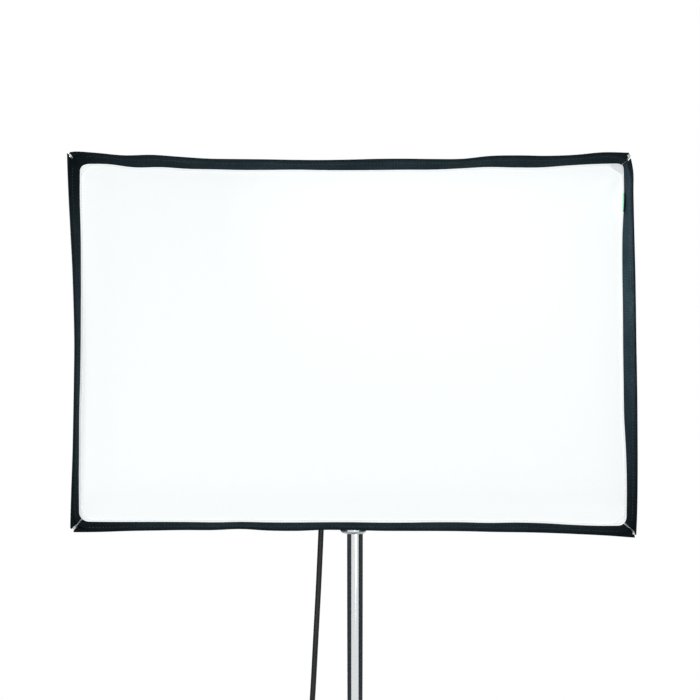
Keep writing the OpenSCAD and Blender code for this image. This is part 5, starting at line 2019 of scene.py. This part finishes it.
@dataclass
class Stand:
    """The chrome stand: column, riser, cast collar with its clamp, leg hubs, legs and rubber feet.

    Attributes:
        column: the column's radius.
        riser: the riser's radius.
        wall: the tubes' wall.
        leg: the legs' radius.
        bend: the radius of a leg's bends.
        hub_low: the lowest hub's foot.
        hub_step: from one hub to the next.
        leg_angles: the legs' directions, in degrees.
        foot_height: the height of a foot's middle.
        clamp: the height of the collar's clamp.
        base: where the stand's axis meets the floor.
    """

    column: float = 15.0
    riser: float = 12.5
    wall: float = 1.5
    leg: float = 11.0
    bend: float = 50.0
    hub_low: float = 70.0
    hub_step: float = 35.0
    leg_angles: tuple = (-90.0, 30.0, 150.0)
    foot_height: float = 13.5
    clamp: float = 867.5
    base: Vector = field(default_factory=lambda: Vector((0, STAND_Y, 0)))

    def build(self) -> None:
        """Makes every part of the stand."""
        self._tube("column_tube", "stand", "column", self.column, 28, 855)
        self._tube("riser_inner_tube", "riser", "riser_tube", self.riser, 335, 997)
        self._plug()
        self._collar()
        self._clamp()
        self._base_collars()
        for number, angle in enumerate(self.leg_angles, 1):
            self._leg(number, angle)

    def _tube(self, name: str, body: str, node: str, r: float, low: float, high: float) -> None:
        """Turns a chrome tube.

        Args:
            name: the piece's name.
            body: the body that it moves with.
            node: the CAD node that it stands for.
            r: its radius.
            low: its lower end.
            high: its upper end.
        """
        making = Making()
        making.lathe([(r - self.wall, low), (r - 0.4, low), (r, low + 0.4), (r, low + 2), (r, high - 2),
                      (r, high - 0.4), (r - 0.4, high), (r - self.wall, high)], self.base, UP, 96, closed=True)
        making.piece(name, body, "tube_chrome", CHROME, stands_for=[node])

    def _plug(self) -> None:
        """Moulds the plug in the column's lower end."""
        making = Making()
        making.lathe([(0, 24), (11, 24), (13.8, 25), (14.8, 26.2), (14.8, 27.9), (13.4, 27.9), (13.4, 44),
                      (0, 44)], self.base, UP, 64)
        making.piece("column_plug", "stand", "foot_rubber", FOOT_RUBBER)

    def _collar(self) -> None:
        """Turns the cast collar with its bowl, which is thicker on the left, and its boss."""
        making = Making()
        low, top, neck, rim = 843.0, 880.0, 17.0, 24.6
        bowl = []
        for angle in range(10, 91, 10):
            a = radians(angle)
            bowl.append((neck + (rim - neck) * sin(a), low + 5.5 * (1 - cos(a))))
        making.lathe([
            (15.05, low), (neck - 0.6, low), *bowl, (rim, 853.5), (rim - 0.5, 854), (rim - 0.5, 855),
            (rim, 855.5), (rim, 876.5), (rim - 0.9, 878.4), (rim - 3, top - 0.3), (rim - 4, top), (13.2, top),
            (12.55, top - 0.6), (12.55, 855), (15.05, 855),
        ], self.base, UP, 112, closed=True)
        for v in making.bm.verts:
            v.co.x -= 3.0 * smooth(16, 24, (v.co - self.base).xy.length)
        making.lathe([(4.05, 19), (9, 19), (9, 33.4), (8.0, 34.5), (4.6, 34.5), (4.05, 34)],
                     self.base + UP * self.clamp, BACK, 48, closed=True)
        making.piece("riser_collar", "stand", "cast_aluminium", NICKEL, stands_for=["collar"])

    def _clamp(self) -> None:
        """Turns the collar's clamp with its cross handle."""
        making = Making()
        spot = self.base + UP * self.clamp
        making.finish_number = 1
        making.lathe([(0, 12.9), (3.4, 12.9), (4, 13.6), (4, 38.5), (0, 38.5)], spot, BACK, 28)
        making.finish_number = 0
        making.lathe([(0, 37.5), (6.6, 37.5), (7.4, 38.2), (8, 39.6), (8, 49.4), (7.4, 50.8), (6.4, 51.5),
                      (0, 51.6)], spot, BACK, 40)
        grip = [(0, -34), (3.2, -33.4), (5.4, -31), (6, -28), (5.4, -25), (4.6, -22.5), (4.2, -12), (5.0, -7)]
        making.lathe([*grip, *((r, -h) for r, h in reversed(grip))], spot + BACK * 44.5, RIGHT, 32)
        making.piece("collar_clamp", "collar_knob", "black_plastic", BLACK_ABS, SPRING_STEEL,
                     stands_for=["collar_knob"])

    def _base_collars(self) -> None:
        """Turns the two collars that hold the hubs, each with its set screw."""
        making = Making()
        for low in (57.0, 174.2):
            making.finish_number = 0
            making.lathe([(15.05, low), (19, low), (20, low + 1), (20, low + 11), (19, low + 12),
                          (15.05, low + 12)], self.base, UP, 96, closed=True)
            making.finish_number = 1
            making.lathe([(2.6, 19), (2.6, 20.4), (2.2, 20.8), (1.4, 20.8), (1.4, 19.9), (0, 19.9)],
                         self.base + UP * (low + 6), BACK, 24)
        making.piece("hub_collars", "stand", "cast_aluminium", CAST_ALUMINIUM, SPRING_STEEL,
                     stands_for=["base_collars"])

    def _bent(self, corners: Sequence[Vector]) -> list[Vector]:
        """Rounds the bends of a leg.

        Args:
            corners: where its straight runs meet, and its ends.

        Returns:
            The points of its middle line.
        """
        path = [corners[0]]
        for before, here, after in zip(corners, corners[1:], corners[2:]):
            into, away = (here - before).normalized(), (after - here).normalized()
            angle = into.angle(away)
            trim = self.bend * tan(angle / 2)
            start, axis = here - into * trim, into.cross(away).normalized()
            middle = start + axis.cross(into) * self.bend
            for i in range(11):
                turn = Matrix.Rotation(angle * i / 10, 3, axis)
                path.append(middle + turn @ (start - middle))
        return [*path, corners[-1]]

    def _leg(self, number: int, angle: float) -> None:
        """Makes a leg with its hub, and the ribbed foot on its end.

        Args:
            number: the leg's number.
            angle: its direction, in degrees.
        """
        body = "stand" if number == 1 else f"leg_{number}"
        way = Vector((cos(radians(angle)), sin(radians(angle)), 0))
        low = self.hub_low + (number - 1) * self.hub_step
        middle = low + 17
        making = Making()
        making.lathe([
            (15.05, low), (20.8, low), (22, low + 1.2), (22, low + 4.5), (21.3, low + 5.2), (21.3, low + 28.8),
            (22, low + 29.5), (22, low + 32.8), (20.8, low + 34), (15.05, low + 34),
        ], self.base, UP, 96, closed=True)
        making.lathe([(11.05, 17.5), (14.5, 17.5), (14.5, 32), (13.6, 33.4), (12, 34), (11.05, 34)],
                     self.base + UP * middle, way, 64, closed=True)
        making.finish_number = 1
        corners = [self.base + way * far + UP * up for far, up in (
            (18, middle), (95, middle - 5), (195, self.foot_height), (425, self.foot_height),
        )]
        making.tube(self._bent(corners), self.leg, 48)
        making.piece(f"leg_{number}_tube", body, "tube_chrome", CAST_ALUMINIUM, CHROME,
                     stands_for=[f"leg_{number}"])

        making = Making()
        ribs = []
        for i in range(6):
            h = 4 + i * 6.4
            ribs += [(14.5, h), (14.5, h + 3.6), (13.6, h + 4.2), (13.6, h + 5.8)]
        making.lathe([(11.05, 0), (12.6, 0), (13.6, 1.2), (13.6, 3.4), *ribs, (14.5, 43), (14.2, 46), (13.0, 48.6),
                      (10.5, 50), (0, 50), (0, 45), (11.05, 45)],
                     self.base + way * 380 + UP * self.foot_height, way, 64, closed=True)
        for v in making.bm.verts:
            v.co.z = max(v.co.z, 0.0)
        making.piece(f"foot_{number}_sleeve", body, "foot_rubber", FOOT_RUBBER, stands_for=[f"foot_{number}"])


def dress_carried_over() -> None:
    """Gives the CAD nodes that stay their finishes."""
    for finish, nodes in CARRIED_OVER.items():
        for name in nodes:
            node = frame["nodes"][name]
            node.data.materials.clear()
            node.data.materials.append(finish.material())
            LOG.info("%s is finished in %s", name, finish.name)


def main() -> None:
    """Builds the classes in order and gives the CAD nodes that stay their finishes."""
    logging.basicConfig(level=logging.INFO, format="%(message)s")
    shape = BoxShape()
    for part in (Studio(), Lead(), Shell(shape), Lips(shape), Diffuser(shape), Inside(shape), LampHead(),
                 TiltBracket(), Stand()):
        part.build()
    dress_carried_over()


if __name__ == "__main__":
    main()
